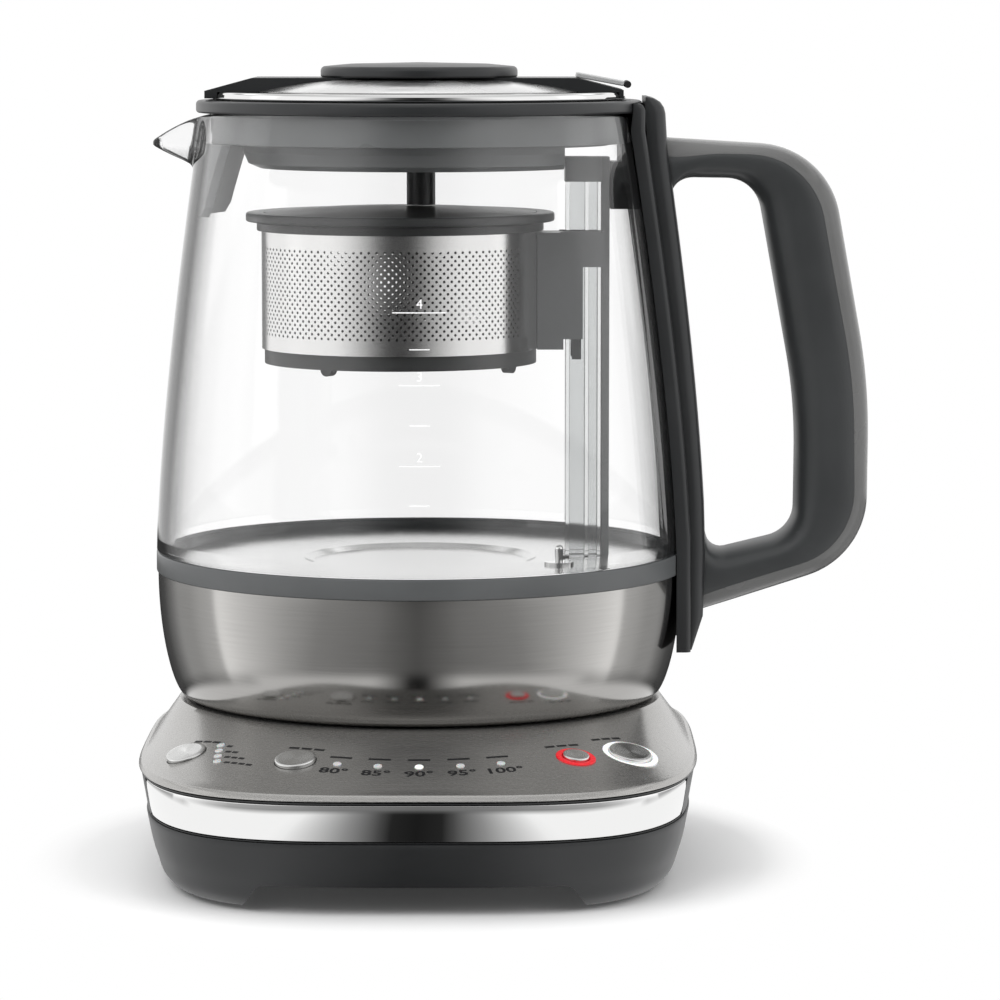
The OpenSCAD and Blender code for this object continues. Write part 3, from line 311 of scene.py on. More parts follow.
def add(tree, kind, *values, out=0, **settings):
    """Adds a node, fills its inputs in their order, and gives one of its outputs."""
    node = tree.nodes.new("ShaderNode" + kind)
    for key, value in settings.items():
        if hasattr(node, key):
            setattr(node, key, value)
        else:
            feed(tree, node.inputs[key], value)
    for socket, value in zip(node.inputs, values):
        feed(tree, socket, value)
    return node.outputs[out]


def maths(tree, operation, a, b=None):
    return add(tree, "Math", a, b, operation=operation)


def blended(tree, share, first, second):
    return add(tree, "MixShader", share, first, second)


def split(tree, vector):
    """The three parts of a vector."""
    return add(tree, "SeparateXYZ", vector).node.outputs


def length(tree, vector):
    return add(tree, "VectorMath", vector, operation="LENGTH", out="Value")


class Finish:
    """A material with one Principled shader, and short ways to add nodes to it."""

    def __init__(self, name, colour, roughness, metallic=0.0, specular=0.5):
        self.mat = bpy.data.materials.new(name)
        self.mat.use_nodes = True
        self.tree = self.mat.node_tree
        self.shader = self.tree.nodes["Principled BSDF"]
        self.set("Base Color", (*colour, 1))
        self.set("Roughness", roughness)
        self.set("Metallic", metallic)
        self.set("Specular IOR Level", specular)

    def set(self, socket, value):
        feed(self.tree, self.shader.inputs[socket], value)

    def add(self, kind, *values, **settings):
        return add(self.tree, kind, *values, **settings)

    def show(self, shade):
        feed(self.tree, self.tree.nodes["Material Output"].inputs["Surface"], shade)

    def place(self, scale=(1, 1, 1)):
        """Coordinates in metres in the part's own frame, stretched by scale."""
        return self.add("Mapping", self.add("TexCoord", out="Object"), Scale=scale)

    def noise(self, size, scale=(1, 1, 1), detail=3.0, where=None):
        """Noise whose grains are about size millimetres."""
        return self.add("TexNoise", where or self.place(scale), Scale=1 / (size * MM), Detail=detail)

    def span(self, value, low, high, start=0.3, end=0.7):
        """Maps a value from start..end to low..high."""
        return self.add("MapRange", value, start, end, low, high)

    def vary_roughness(self, value, low, high):
        self.set("Roughness", self.span(value, low, high))

    def vary_colour(self, value, colour, vary):
        dark, light = (tuple(c * (1 + s * vary) for c in colour) + (1,) for s in (-1, 1))
        self.set("Base Color", self.add("MixRGB", self.span(value, 0, 1), dark, light))

    def bump(self, height, depth, strength=1.0):
        """Bump of a depth in millimetres."""
        self.set("Normal", self.add("Bump", Strength=strength, Distance=depth * MM, Height=height))

    def line(self, lines, colour, roughness, spread, vary, depth):
        """Brush lines in the gloss, the colour and the relief."""
        self.vary_roughness(lines, roughness - spread / 2, roughness + spread / 2)
        self.vary_colour(lines, colour, vary)
        self.bump(lines, depth)
        return self.mat

    def pass_lamps(self, tint):
        """Lets lamplight through, so that glass doesn't cast a solid shadow."""
        lamplight = self.add("LightPath", out="Is Shadow Ray")
        passed = self.add("BsdfTransparent", (*tint, 1))
        self.show(blended(self.tree, lamplight, self.shader.outputs[0], passed))


def ramp(tree, value, stops):
    """A colour ramp of greys."""
    shade = add(tree, "ValToRGB", value, out="Color")
    elements = shade.node.color_ramp.elements
    while len(elements) > 1:
        elements.remove(elements[-1])
    elements[0].position, grey = stops[0]
    elements[0].color = (grey, grey, grey, 1)
    for position, grey in stops[1:]:
        elements.new(position).color = (grey, grey, grey, 1)
    return shade


def moulded(name, colour, roughness, specular=0.5, grain=0.22, depth=0.003):
    """Moulded plastic with a fine grain and slightly uneven gloss."""
    finish = Finish(name, colour, roughness, specular=specular)
    cloud = finish.noise(26)
    finish.vary_colour(cloud, colour, 0.1)
    finish.vary_roughness(cloud, roughness - 0.04, roughness + 0.05)
    finish.bump(finish.noise(grain, detail=2.0), depth)
    return finish.mat


def polished(name, colour, roughness, depth=0.012):
    """Polished metal with the faint unevenness of rolled sheet and fine wipe marks."""
    finish = Finish(name, colour, roughness, metallic=1)
    finish.vary_roughness(finish.noise(18), roughness * 0.7, roughness * 1.5)
    finish.bump(finish.noise(30, detail=1.0), depth, 0.4)
    return finish.mat


def brushed(name, colour, roughness, stretch, metallic, vary, depth):
    """Metal brushed along one direction: stretch is small along the lines and 1 across them."""
    spread, size = 0.12, 0.25
    finish = Finish(name, colour, roughness, metallic=metallic)
    lines = finish.noise(size, scale=stretch, detail=4.0)
    return finish.line(lines, colour, roughness, spread, vary, depth)


# How far the grain of lathe lines runs for each radian round the axis
LATHE_RUN = 0.0016


def round_brushed(name, colour, roughness, spread, depth, size, vary=0.06):
    """Metal brushed round a vertical axis: the lines follow the turn of a lathe."""
    finish = Finish(name, colour, roughness, metallic=1)
    x, y, z = split(finish.tree, finish.place())
    turn = maths(finish.tree, "ARCTAN2", y, x)
    where = finish.add("CombineXYZ", maths(finish.tree, "MULTIPLY", turn, LATHE_RUN), 0, z)
    return finish.line(finish.noise(size, detail=4.0, where=where), colour, roughness, spread, vary, depth)


def spun(name, colour):
    """A turned metal cap: rings about the piece's own axis, and light that fans out from it."""
    finish = Finish(name, colour, 0.26, metallic=1)
    x, y, _ = split(finish.tree, finish.place())
    far = length(finish.tree, finish.add("CombineXYZ", x, y, 0))
    grooves = finish.noise(0.12, where=finish.add("CombineXYZ", far))
    finish.vary_roughness(grooves, 0.2, 0.34)
    finish.bump(grooves, 0.002)
    finish.set("Anisotropic", 0.85)
    finish.set("Tangent", finish.add("Tangent", direction_type="RADIAL", axis="Z"))
    return finish.mat


# Painted shade: how much darker the wall's colour is made where it's seen edge on, standing in for the dark
# lines at the edges of glass
PAINTED_EDGE_SHADE = [(0.0, 1.0), (0.50, 1.0), (0.58, 0.92), (0.646, 0.7), (0.717, 0.24), (0.80, 0.06), (0.87, 0.02),
              (1.0, 0.02)]


def clear(name, colour, ior, roughness, tint):
    """Clear glass or plastic, with barely visible unevenness and painted shade at its edges."""
    finish = Finish(name, colour, roughness)
    finish.set("Transmission Weight", 1.0)
    finish.set("IOR", ior)
    # Painted shade: the colour darkens where the surface is seen edge on
    edge = ramp(finish.tree, finish.add("LayerWeight", Blend=0.5, out="Facing"), PAINTED_EDGE_SHADE)
    finish.set("Base Color", finish.add("MixRGB", 1.0, (*colour, 1), edge, blend_type="MULTIPLY"))
    finish.bump(finish.noise(24, detail=1.0), 0.01, 0.25)
    finish.pass_lamps(tint)
    return finish.mat


def glowing(name, colour, light):
    """A lamp's cover: milky plastic that shines a little; on a lamp that is off, that shine is a painted
    glow.
    """
    finish = Finish(name, colour, 0.25)
    finish.set("Emission Color", (*colour, 1))
    finish.set("Emission Strength", light)
    finish.set("Subsurface Weight", 0.3)
    finish.set("Subsurface Scale", 0.5 * MM)
    finish.vary_roughness(finish.noise(0.8), 0.2, 0.32)
    return finish.mat


def ink(name, colour):
    """Printed marks, slightly uneven as pad printing is."""
    finish = Finish(name, colour, 0.5, specular=0.3)
    finish.vary_roughness(finish.noise(0.5), 0.42, 0.6)
    return finish.mat


DARK = moulded("dark_moulding", (0.019, 0.020, 0.021), 0.34)
GRIP = moulded("grip_moulding", (0.034, 0.036, 0.037), 0.36)
HOUSING = moulded("housing_moulding", (0.019, 0.020, 0.021), 0.42)
BASKET = moulded("basket_moulding", (0.030, 0.031, 0.031), 0.34)
MID = moulded("mid_moulding", (0.085, 0.089, 0.091), 0.34)
INNER = moulded("inner_moulding", (0.16, 0.165, 0.167), 0.30, depth=0.0008)
TAB = moulded("tab_moulding", (0.42, 0.425, 0.425), 0.34)
SPINE = moulded("spine_moulding", (0.10, 0.10, 0.099), 0.24, depth=0.002)
COVER = brushed("cover_finish", (0.46, 0.452, 0.438), 0.25, (0.012, 1, 1), metallic=0.86, vary=0.05,
                depth=0.001)
BOWL = round_brushed("bowl_finish", (0.43, 0.422, 0.408), 0.13, 0.04, 0.0002, 0.5, vary=0.03)
CHROME = polished("polished_steel", (0.88, 0.88, 0.875), 0.035)
LID_STEEL = polished("lid_steel", (0.93, 0.93, 0.925), 0.22, 0.004)
DRUM = round_brushed("drum_steel", (0.90, 0.895, 0.885), 0.20, 0.04, 0.0001, 0.2, vary=0.02)
# Painted shade: the inside of the drum is the same steel drawn darker, for the shade within the drum
DRUM_INSIDE_SHADE = round_brushed("drum_inside_painted_shade", (0.30, 0.295, 0.28), 0.4, 0.06, 0.0003, 0.2, vary=0.03)
PLATE_STEEL = round_brushed("plate_steel", (0.78, 0.78, 0.775), 0.16, 0.08, 0.002, 0.6)
SPUN = spun("spun_aluminium", (0.88, 0.88, 0.87))
SCREW = polished("zinc", (0.6, 0.6, 0.6), 0.3)
GLASS = clear("jug_glass", (1, 1, 1), 1.47, 0.0, (0.96, 0.97, 0.97))
CLEAR = clear("clear_moulding", (0.80, 0.81, 0.81), 1.49, 0.07, (0.86, 0.87, 0.87))
RUBBER = moulded("black_rubber", (0.016, 0.016, 0.016), 0.6, specular=0.3, grain=0.5, depth=0.01)
SILICONE = moulded("grey_silicone", (0.20, 0.21, 0.21), 0.5, specular=0.35)
BOARD = moulded("solder_mask", (0.02, 0.10, 0.04), 0.35, grain=1.2)
CAST = moulded("cast_aluminium", (0.42, 0.42, 0.42), 0.5, grain=0.6, depth=0.03)
RED = glowing("red_light", (0.62, 0.012, 0.02), 0.25)
WHITE = glowing("white_light", (0.86, 0.87, 0.87), 0.2)
# Covers of the lamps that are off, still given a faint painted glow
UNLIT_LENS_GLOW = glowing("dull_lens_painted_glow", (0.50, 0.51, 0.51), 0.03)
LABEL = ink("label_ink", (0.010, 0.010, 0.011))
MARK = ink("mark_ink", (0.9, 0.9, 0.9))


# ---------- plan of the base ----------
def plan_r(a):
    """Distance from the jug's axis to the base's edge, towards angle a."""
    x = abs(cos(a)) / (BASE_W / 2)
    y = abs(sin(a)) / (BASE_FRONT if sin(a) < 0 else BASE_BACK)
    return (x ** PLAN_POWER + y ** PLAN_POWER) ** (-1 / PLAN_POWER)


PLAN_STEPS = 288
PLAN_ANGLES = [360 * k / PLAN_STEPS for k in range(PLAN_STEPS)]


def plan_ring(z, inset, t=0.0, radius=SEAT_R, angles=PLAN_ANGLES):
    """A ring of the plan drawn in by inset, and blended by t to a round ring."""
    return [polar(mix(plan_r(a) - inset, radius, t), a, z) for a in angles]


def cover_slope(a):
    far = plan_r(a) - SHOULDER_INSET - SEAT_R
    return (SEAT_Z - LIP_Z) / far


def cover_height(x, y):
    return SEAT_Z - (math.hypot(x, y) - SEAT_R) * cover_slope(math.degrees(math.atan2(y, x)))


def on_cover(a, r=CONTROLS_R):
    """The place on the sloping cover towards angle a, with its own +Z square to the surface."""
    z = SEAT_Z - (r - SEAT_R) * cover_slope(a)
    tilt = math.atan(cover_slope(a))
    place = Matrix.Rotation(math.radians(a), 4, "Z") @ Matrix.Translation((r * MM, 0, z * MM))
    return place @ Matrix.Rotation(tilt, 4, "Y")


def moved(shape, place):
    """A shape in millimetres, carried to a place on the part."""
    verts, faces = shape
    return [tuple((place @ (Vector(v) * MM)) / MM) for v in verts], faces


STRENGTH_A, TEMP_A, WARM_A, START_A = -134.2, -110.9, -61.2, -49.6
BUTTON_R, WARM_R, START_R = 6, 3.9, 6.4
BUTTONS = {"strength_button": (STRENGTH_A, BUTTON_R, 0), "temperature_button": (TEMP_A, BUTTON_R, 0),
           "keep_warm_button": (WARM_A, WARM_R, RING_W), "start_button": (START_A, START_R, RING_W)}
RINGS = {"keep_warm_button": ("keep_warm_ring", "red_light", RED),
         "start_button": ("start_ring", "white_light", WHITE)}
TEMP_LIGHTS = [-89.2 + 7.06 * k for k in range(-2, 3)]
STRENGTH_LIGHTS = [(-129.3 + 1.5 * k, CONTROLS_R - 6.3 + 3.5 * k) for k in range(4)]
LIGHT_R, LIGHT_PROUD, LIGHT_GAP = 1.3, 0.4, 0.12
HOLE_REACH = 8


# ---------- power base ----------
def housing():
    shares = [(0.15, 0.75), (0.34, 0.6), (0.58, 0.43)]
    line = [(FOOT_H, BOTTOM_INSET + 1.2), (FOOT_H + 0.5, BOTTOM_INSET)]
    line += [(FOOT_H + up * HOUSING_H, inset * BOTTOM_INSET) for up, inset in shares] + [(FRAME_Z - 0.5, 2.5)]
    outer = [plan_ring(z, inset) for z, inset in spline(line, 5)]
    edge = [plan_ring(FRAME_Z - 0.1, 2.6), plan_ring(FRAME_Z, 3.0), plan_ring(FRAME_Z, 6)]
    inner = [plan_ring(FRAME_Z - 4, 8), plan_ring(FRAME_Z - 4, 40, 0.5, 30)]
    shape = loft(outer + edge + inner)
    half, top = ARCH_W / 2, FOOT_H + ARCH_H
    arch = rounded([(-half - 3, -2, 0), (half + 3, -2, 0), (half, FOOT_H, 1.5),
                    (half - ARCH_RUN, top, ARCH_ROUND), (ARCH_RUN - half, top, ARCH_ROUND),
                    (-half, FOOT_H, 1.5)])
    piece("housing_shell", "base", "dark_plastic", shape, HOUSING, ["base_housing"],
          [prism(arch, 3 * BASE_W)], sharp=30)


def recess(a, z):
    """How deep the frame is drawn in for the bright band."""
    inside = abs((a + 90 + 180) % 360 - 180) < BAND_ANGLE
    return BAND_T + 0.15 if inside and FRAME_Z + BAND_REVEAL < z < FRAME_Z + FRAME_H - BAND_REVEAL else 0


def frame_inset(z):
    share = (z - FRAME_Z) / FRAME_H
    return BAND_TOP_INSET + BAND_LEAN * (1 - share)


def frame_ring():
    ends = [(-90 + s * (BAND_ANGLE + d)) % 360 for s in (-1, 1) for d in (-0.02, 0.02)]
    angles = sorted(PLAN_ANGLES + ends)
    z0, z1 = FRAME_Z + 0.2, FRAME_Z + FRAME_H
    levels = [z0, FRAME_Z + BAND_REVEAL - 0.01, FRAME_Z + BAND_REVEAL + 0.01, (z0 + z1) / 2,
              z1 - BAND_REVEAL - 0.01, z1 - BAND_REVEAL + 0.01, z1]
    rings = [[polar(plan_r(a) - frame_inset(z) - recess(a, z), a, z) for a in angles] for z in levels]
    rings += [plan_ring(z, 6, angles=angles) for z in (z1, z0)]
    piece("frame_ring", "base", "dark_plastic", loft(rings, closed=True), HOUSING, ["base_frame"], sharp=25)


def bright_band():
    """The polished strip, with rounded corners at both ends."""
    steps, round_r = 150, 2.4
    z0, z1 = FRAME_Z + BAND_REVEAL + 0.2, FRAME_Z + FRAME_H - BAND_REVEAL - 0.2
    half = BAND_ANGLE - 0.35
    rings = []
    for k in range(steps + 1):
        a = -90 + half * (2 * k / steps - 1)
        end = (half - abs(a + 90)) * 1.96
        dip = round_r - math.sqrt(max(0.02, round_r ** 2 - max(0, round_r - end) ** 2))
        low, high = z0 + dip, z1 - dip
        section = rounded([(0, low, 0.35), (0, high, 0.35), (-1, high, 0), (-1, low, 0)], 3)
        rings.append([polar(plan_r(a) - frame_inset(z) + depth, a, z) for depth, z in section])
    piece("bright_band", "base", "bright_steel", loft(rings), CHROME, ["chrome_band"], sharp=40)


def hole(r, place, steps):
    """A round cutter through the cover."""
    return moved(lathe([(0, -HOLE_REACH), (r, -HOLE_REACH), (r, HOLE_REACH), (0, HOLE_REACH)], steps), place)


def cover_shell():
    side = [(COVER_Z, 1.5), (COVER_Z + 0.15, 0.5), (COVER_Z + 0.4, 0.0), (COVER_Z + 1.1, 0.35),
            (LIP_Z - 0.5, 0.8), (LIP_Z - 0.15, 1.3), (LIP_Z, SHOULDER_INSET)]
    rings = [plan_ring(z, max(0, inset)) for z, inset in spline(side, 3)]
    slope = 12
    rings += [plan_ring(mix(LIP_Z, SEAT_Z, k / slope), SHOULDER_INSET, k / slope) for k in range(1, slope)]
    well = WELL_R + BASE_WALL
    seat = [(SEAT_Z - 0.05, SEAT_R + 0.05), (SEAT_Z, SEAT_R - 0.7), (SEAT_Z, 50), (SEAT_Z, WELL_R + 1),
            (SEAT_Z - 0.3, WELL_R + 0.2), (SEAT_Z - 1, WELL_R), (COVER_Z, WELL_R), (COVER_Z, well),
            (SEAT_Z - BASE_WALL, well), (SEAT_Z - BASE_WALL, SEAT_R - BASE_WALL)]
    rings += [plan_ring(z, 0, 1, r) for z, r in seat] + [plan_ring(COVER_Z, BASE_WALL + 1.4)]
    cuts = [hole(r + ring + BUTTON_GAP, on_cover(a), 64) for a, r, ring in BUTTONS.values()]
    lamps = [on_cover(a) for a in TEMP_LIGHTS] + [on_cover(a, r) for a, r in STRENGTH_LIGHTS]
    cuts += [hole(LIGHT_R + LIGHT_GAP, place, 32) for place in lamps]
    piece("cover_shell", "base", "satin_metal", loft(rings, closed=True), COVER, ["base_cover"],
          cuts, sharp=30)


def local_piece(name, body, slot, shape, material, place, instead):
    """A piece made about its own origin and put at a place, so that its finish is centred on it."""
    obj = raw_object(name, *shape)
    soften(obj, 30)
    obj.matrix_world = place
    dress(obj, body, slot, material, instead)


def controls():
    for node, (a, r, ring) in BUTTONS.items():
        cap = rounded([(0, -4.2, 0), (r, -4.2, 0), (r, BUTTON_PROUD - 0.1, 0.5), (r - 1.1, BUTTON_PROUD, 0.3),
                       (0, BUTTON_PROUD - 0.35, 0)], 4)
        local_piece(node + "_cap", node, "button_metal", lathe(cap, 96), SPUN, on_cover(a), [node])
        if ring:
            inner = r + BUTTON_GAP
            hoop = rounded([(inner, -2, 0), (inner + ring, -2, 0), (inner + ring, LIGHT_PROUD, 0.3),
                            (inner, LIGHT_PROUD, 0.3)], 4)
            replaced, slot, light = RINGS[node]
            local_piece(node + "_glow", "base", slot, lathe(hoop, 96), light, on_cover(a), [replaced])
    outline = rounded([(0, -2, 0), (LIGHT_R, -2, 0), (LIGHT_R, LIGHT_PROUD - 0.05, 0.3),
                       (0, LIGHT_PROUD, 0)], 4)
    lamp = lathe(outline, 32)
    lit = TEMP_LIGHTS[2]
    rows = {"temperature_lights": [(a, CONTROLS_R) for a in TEMP_LIGHTS if a != lit],
            "strength_lights": STRENGTH_LIGHTS}
    for node, places in rows.items():
        shape = joined(*[moved(lamp, on_cover(a, r)) for a, r in places])
        piece(node + "_lenses", "base", "white_light", shape, UNLIT_LENS_GLOW, [node])
    piece("lit_lens", "base", "white_light", moved(lamp, on_cover(lit)), WHITE)


def glyphs(text, size, wide=1.0, bold=0.0):
    """Flat outlines of plain numbers, as vertices (x, y) in millimetres and faces, centred."""
    curve = bpy.data.curves.new("glyphs", "FONT")
    curve.body = text
    curve.size = size
    curve.offset = bold * size
    curve.align_x = "CENTER"
    curve.align_y = "CENTER"
    curve.resolution_u = 3
    obj = bpy.data.objects.new("glyphs", curve)
    bpy.context.scene.collection.objects.link(obj)
    bpy.context.view_layer.update()
    mesh = bpy.data.meshes.new_from_object(obj.evaluated_get(bpy.context.evaluated_depsgraph_get()))
    verts = [(v.co.x * wide, v.co.y) for v in mesh.vertices]
    faces = [tuple(p.vertices) for p in mesh.polygons]
    bpy.data.objects.remove(obj)
    return verts, faces


def bar(width, height, x=0):
    """A thin rectangle, cut in steps so that it can follow a round surface."""
    steps = 12
    verts = [(x + width * (k / steps - 0.5), s * height / 2) for k in range(steps + 1) for s in (-1, 1)]
    return verts, strip_faces(steps)


def strip_faces(count):
    """Faces of a strip whose points lie in pairs."""
    return [(2 * k, 2 * k + 2, 2 * k + 3, 2 * k + 1) for k in range(count)]


PRINT_T, MARK_LIFT = 0.03, 0.02


def printed(name, body, slot, flat, material, where):
    """Gives flat marks a hair's thickness and lays them on a surface: where(x, y, lift) is a point."""
    verts, faces = flat
    n = len(verts)
    solid = [where(x, y, lift) for lift in (0.0, PRINT_T) for x, y in verts]
    both = [tuple(reversed(f)) for f in faces] + [tuple(i + n for i in f) for f in faces]
    edges = dict.fromkeys((i, j) for f in faces for i, j in zip(f, f[1:] + f[:1]))
    both += [(i, j, j + n, i + n) for i, j in edges if (j, i) not in edges]
    dress(raw_object(name, solid, both), body, slot, material)


def shifted(flat, x, y):
    verts, faces = flat
    return [(vx + x, vy + y) for vx, vy in verts], faces


def cover_marks():
    """Numbers under the temperature lights, and short bars where words would be."""
    def at(a, r):
        tilt = math.degrees(math.atan(cover_slope(a)))

        def where(x, y, lift):
            out = r - y * cos(tilt)
            px, py = out * cos(a) - x * sin(a), out * sin(a) + x * cos(a)
            return px, py, cover_height(px, py) + MARK_LIFT + lift
        return where
    number_r, bar_r = CONTROLS_R + 4.3, CONTROLS_R - 4.4
    for k, a in enumerate(TEMP_LIGHTS):
        number = 80 + 5 * k
        text = glyphs(str(number) + "°", 4.6, 1.35, 0.022)
        printed("number_%d" % number, "base", "rubber", text, LABEL, at(a, number_r))
        printed("bar_%d" % number, "base", "rubber", bar(6.5, 1.0), LABEL, at(a, bar_r))
    for name, a, r in (("strength", STRENGTH_A, 6), ("temperature", TEMP_A, 6), ("keep_warm", WARM_A, 6),
                       ("start", START_A, 8.4)):
        dots = joined(*[shifted(bar(3.2, 1.1), 4.0 * k, 0) for k in (-1, 0, 1)])
        printed("ticks_" + name, "base", "rubber", dots, LABEL, at(a, CONTROLS_R - r - 2.4))
    for k, (a, r) in enumerate(STRENGTH_LIGHTS):
        ticks = joined(*[bar(2.0, 1.1, 3.6 + 2.7 * i) for i in range(k + 1)])
        printed("level_ticks_%d" % (k + 1), "base", "rubber", ticks, LABEL, at(a, r))


# ---------- jug ----------
def glass_r(z):
    return GLASS_FOOT_R - (GLASS_FOOT_R - GLASS_RIM_R) * max(0, (z - GLASS_Z) / GLASS_H) ** GLASS_POWER


UNDER = [(SPOUT_REACH, RIM_Z - SPOUT_DROP - 0.6 * SPOUT_LIP), (GLASS_RIM_R + 8, RIM_Z - SPOUT_LOW + 6.6),
         (GLASS_RIM_R - 14, RIM_Z - SPOUT_LOW)]


def bend(points):
    """Points of the curve from the first point to the last that the middle one draws to itself."""
    steps = 24
    (x0, z0), (x1, z1), (x2, z2) = points
    out = []
    for k in range(steps + 1):
        t = k / steps
        w = ((1 - t) ** 2, 2 * t * (1 - t), t * t)
        out.append((w[0] * x0 + w[1] * x1 + w[2] * x2, w[0] * z0 + w[1] * z1 + w[2] * z2))
    return out


TIP_LINE = sorted((z, x) for x, z in bend(UNDER))
SIDE_SLOPE, TIP_ROUND, BLEND_POWER = 1.56, 2.0, 46


def spout_r(a, z):
    """Radius of the glass with its spout, towards angle a at height z."""
    base = glass_r(z)
    tip = lookup(z, TIP_LINE)
    if tip < base - 4:
        return base
    off = abs((a - 180 + 180) % 360 - 180)
    side = math.sqrt((SIDE_SLOPE * sin(off)) ** 2 + (TIP_ROUND / 60) ** 2)
    pulled = (tip + SIDE_SLOPE * TIP_ROUND * 0.66) / (cos(off) + side) if off < 60 else 0
    blend = (base ** BLEND_POWER + max(pulled, 1) ** BLEND_POWER) ** (1 / BLEND_POWER)
    return min(blend, SPOUT_REACH)


SPOUT_ROOT, SPOUT_RUN, EDGE_ROUND = 62.5, 20, 1.3


def rim_drop(a):
    """How far the spout's edge lies under the glass rim."""
    forward = -spout_r(a, RIM_Z - SPOUT_DROP) * cos(a)
    return SPOUT_DROP * max(0, (forward - SPOUT_ROOT) / SPOUT_RUN) ** 1.6


def glass():
    coarse, fine, rows = 2.0, 0.5, 56
    angles = [k * coarse for k in range(78)] + [156 + k * fine for k in range(97)]
    angles += [206 + k * coarse for k in range(77)]
    rings = []
    for a in angles:
        top = RIM_Z - rim_drop(a)
        edge_z = top - EDGE_ROUND
        outer = [(NECK_R, GLASS_Z - GLASS_SINK), (NECK_R, GLASS_Z - 0.6),
                 (glass_r(GLASS_Z) - 0.35, GLASS_Z + 0.1)]
        levels = [mix(GLASS_Z + 0.6, edge_z, 1 - (1 - k / rows) ** 1.6) for k in range(rows + 1)]
        outer += [(spout_r(a, z), z) for z in levels]
        middle = spout_r(a, levels[-1]) - GLASS_WALL / 2
        outer += [(middle + GLASS_WALL / 2 * cos(t), edge_z + EDGE_ROUND * sin(t))
                  for t in (22, 45, 67, 90, 113, 135, 158)]
        inner = [(spout_r(a, z) - GLASS_WALL, z) for z in reversed(levels)]
        inner += [(NECK_R - GLASS_WALL, GLASS_Z - 1.5), (NECK_R - GLASS_WALL, GLASS_Z - GLASS_SINK)]
        rings.append([polar(r, a, z) for r, z in outer + inner])
    piece("jug_glass", "jug", "glass", loft(rings, closed=True), GLASS, ["glass_jug"], sharp=50)


def bowl():
    flare, steps = BOWL_R - BOWL_FOOT_R, 48
    low = JUG_Z + 0.4
    turns = [90 * k / steps for k in range(steps + 1)]
    outer = [(BOWL_FOOT_R + flare * sin(a) ** 0.8, low + (BOWL_H - 1.2) * (1 - cos(a)) ** 0.75)
             for a in turns]
    profile = [(BOWL_FOOT_R - 3, low)] + outer + [(BOWL_R, TRIM_Z - 0.1), (BOWL_R - 0.1, TRIM_Z)]
    profile += [(BOWL_R - BOWL_WALL, TRIM_Z)] + [(r - BOWL_WALL, z) for r, z in reversed(outer[2:])]
    profile += [(BOWL_FOOT_R - BOWL_WALL, low + BOWL_WALL), (BOWL_FOOT_R - 3, low + BOWL_WALL)]
    piece("bowl_shell", "jug", "bowl_steel", lathe(profile, 256), BOWL, ["jug_bowl"], sharp=40)


def trim():
    inner, wall_in = NECK_R - GLASS_WALL - 1.2, TRIM_R - RING_WALL
    profile = rounded([(inner, TRIM_Z, 0), (TRIM_R, TRIM_Z, 0.5), (TRIM_R, GLASS_Z, 0.5),
                       (wall_in, GLASS_Z, 0.3), (wall_in, TRIM_Z + 1.2, 0), (inner, TRIM_Z + 1.2, 0)], 4)
    piece("trim_band", "jug", "mid_plastic", lathe(profile), MID, ["trim_ring"])


def collar():
    outer, inner = GLASS_RIM_R + COLLAR_PROUD, SKIRT_R - SKIRT_T
    ring = rounded([(inner, RIM_Z, 0), (outer, RIM_Z, 0.9), (outer, COLLAR_Z, 1.2),
                    (inner, COLLAR_Z, 0.4)], 5)
    piece("collar_ring", "jug", "mid_plastic", lathe(ring), DARK, ["collar"])
    low = RIM_Z - SKIRT_H
    skirt = rounded([(inner, low, 0.3), (SKIRT_R, low, 0.3), (SKIRT_R, RIM_Z, 0), (inner, RIM_Z, 0)], 4)
    piece("collar_skirt", "jug", "mid_plastic", lathe(skirt), INNER)


# ---------- handle ----------
def at_share(v):
    return GLASS_Z + GLASS_H * v


def seam_x(z):
    return math.sqrt(glass_r(z) ** 2 - (STRAP_W / 2) ** 2) + STRAP_T + 0.4


def face_x(z):
    return seam_x(z) + mix(BACKPLATE_T + 0.6, BACKPLATE_T + 2, (z - GLASS_Z) / GLASS_H)


def seam_line():
    low = GLASS_FOOT_R + 1.8
    levels = [at_share(0.04 + 0.92 * k / 24) for k in range(1, 25)]
    return [(low, STRAP_Z), (low, at_share(0.0)), (low, at_share(0.04))] + [(seam_x(z), z) for z in levels]


def glass_gap(z):
    """Radius of the space that the strap leaves for the jug and its rings."""
    if z < GLASS_Z + 1:
        return TRIM_R + 0.3
    if z > RIM_Z - 0.4:
        return GLASS_RIM_R + COLLAR_PROUD + 0.3
    return glass_r(z) + 0.3


def round_front(x, half, r, z, turns):
    """The front of a level section, from -half to half, with both corners rounded."""
    left = [(x - r * (1 - sin(t)), -half + r * (1 - cos(t)), z) for t in turns]
    return left + [(x - r * (1 - cos(t)), half - r * (1 - sin(t)), z) for t in turns]


def strap():
    """The inner strap: flat outside, and hollowed to the round jug inside."""
    x = seam_x(at_share(0.96))
    line = seam_line() + [(x, STRAP_TOP - 2), (x - 0.7, STRAP_TOP - 0.6), (x - 2, STRAP_TOP)]
    columns, corner_r, half = 15, 1.6, STRAP_W / 2
    rings = []
    for x_out, z in line:
        across = [mix(-half, half, k / (columns - 1)) for k in range(columns)]
        back = [(math.sqrt(max(1, glass_gap(z) ** 2 - y ** 2)), y, z) for y in across]
        edge = max(back[0][0] + 0.3, x_out)
        rings.append(back[::-1] + round_front(edge, half, corner_r, z, (0, 30, 60, 90)))
    piece("strap", "jug", "dark_plastic", loft(rings), DARK, ["handle_strap"], sharp=50)


def outer_path():
    foot = GLASS_FOOT_R
    top = face_x(at_share(0.93))
    return open_path([(top - 2, at_share(0.944)), (foot + GRIP_REACH - 12.7, at_share(0.92), 26),
                      (foot + GRIP_REACH + 0.4, at_share(0.38), 180),
                      (foot + GRIP_REACH, at_share(-0.018), 26),
                      (foot + 2.5, at_share(-0.148))], 14)


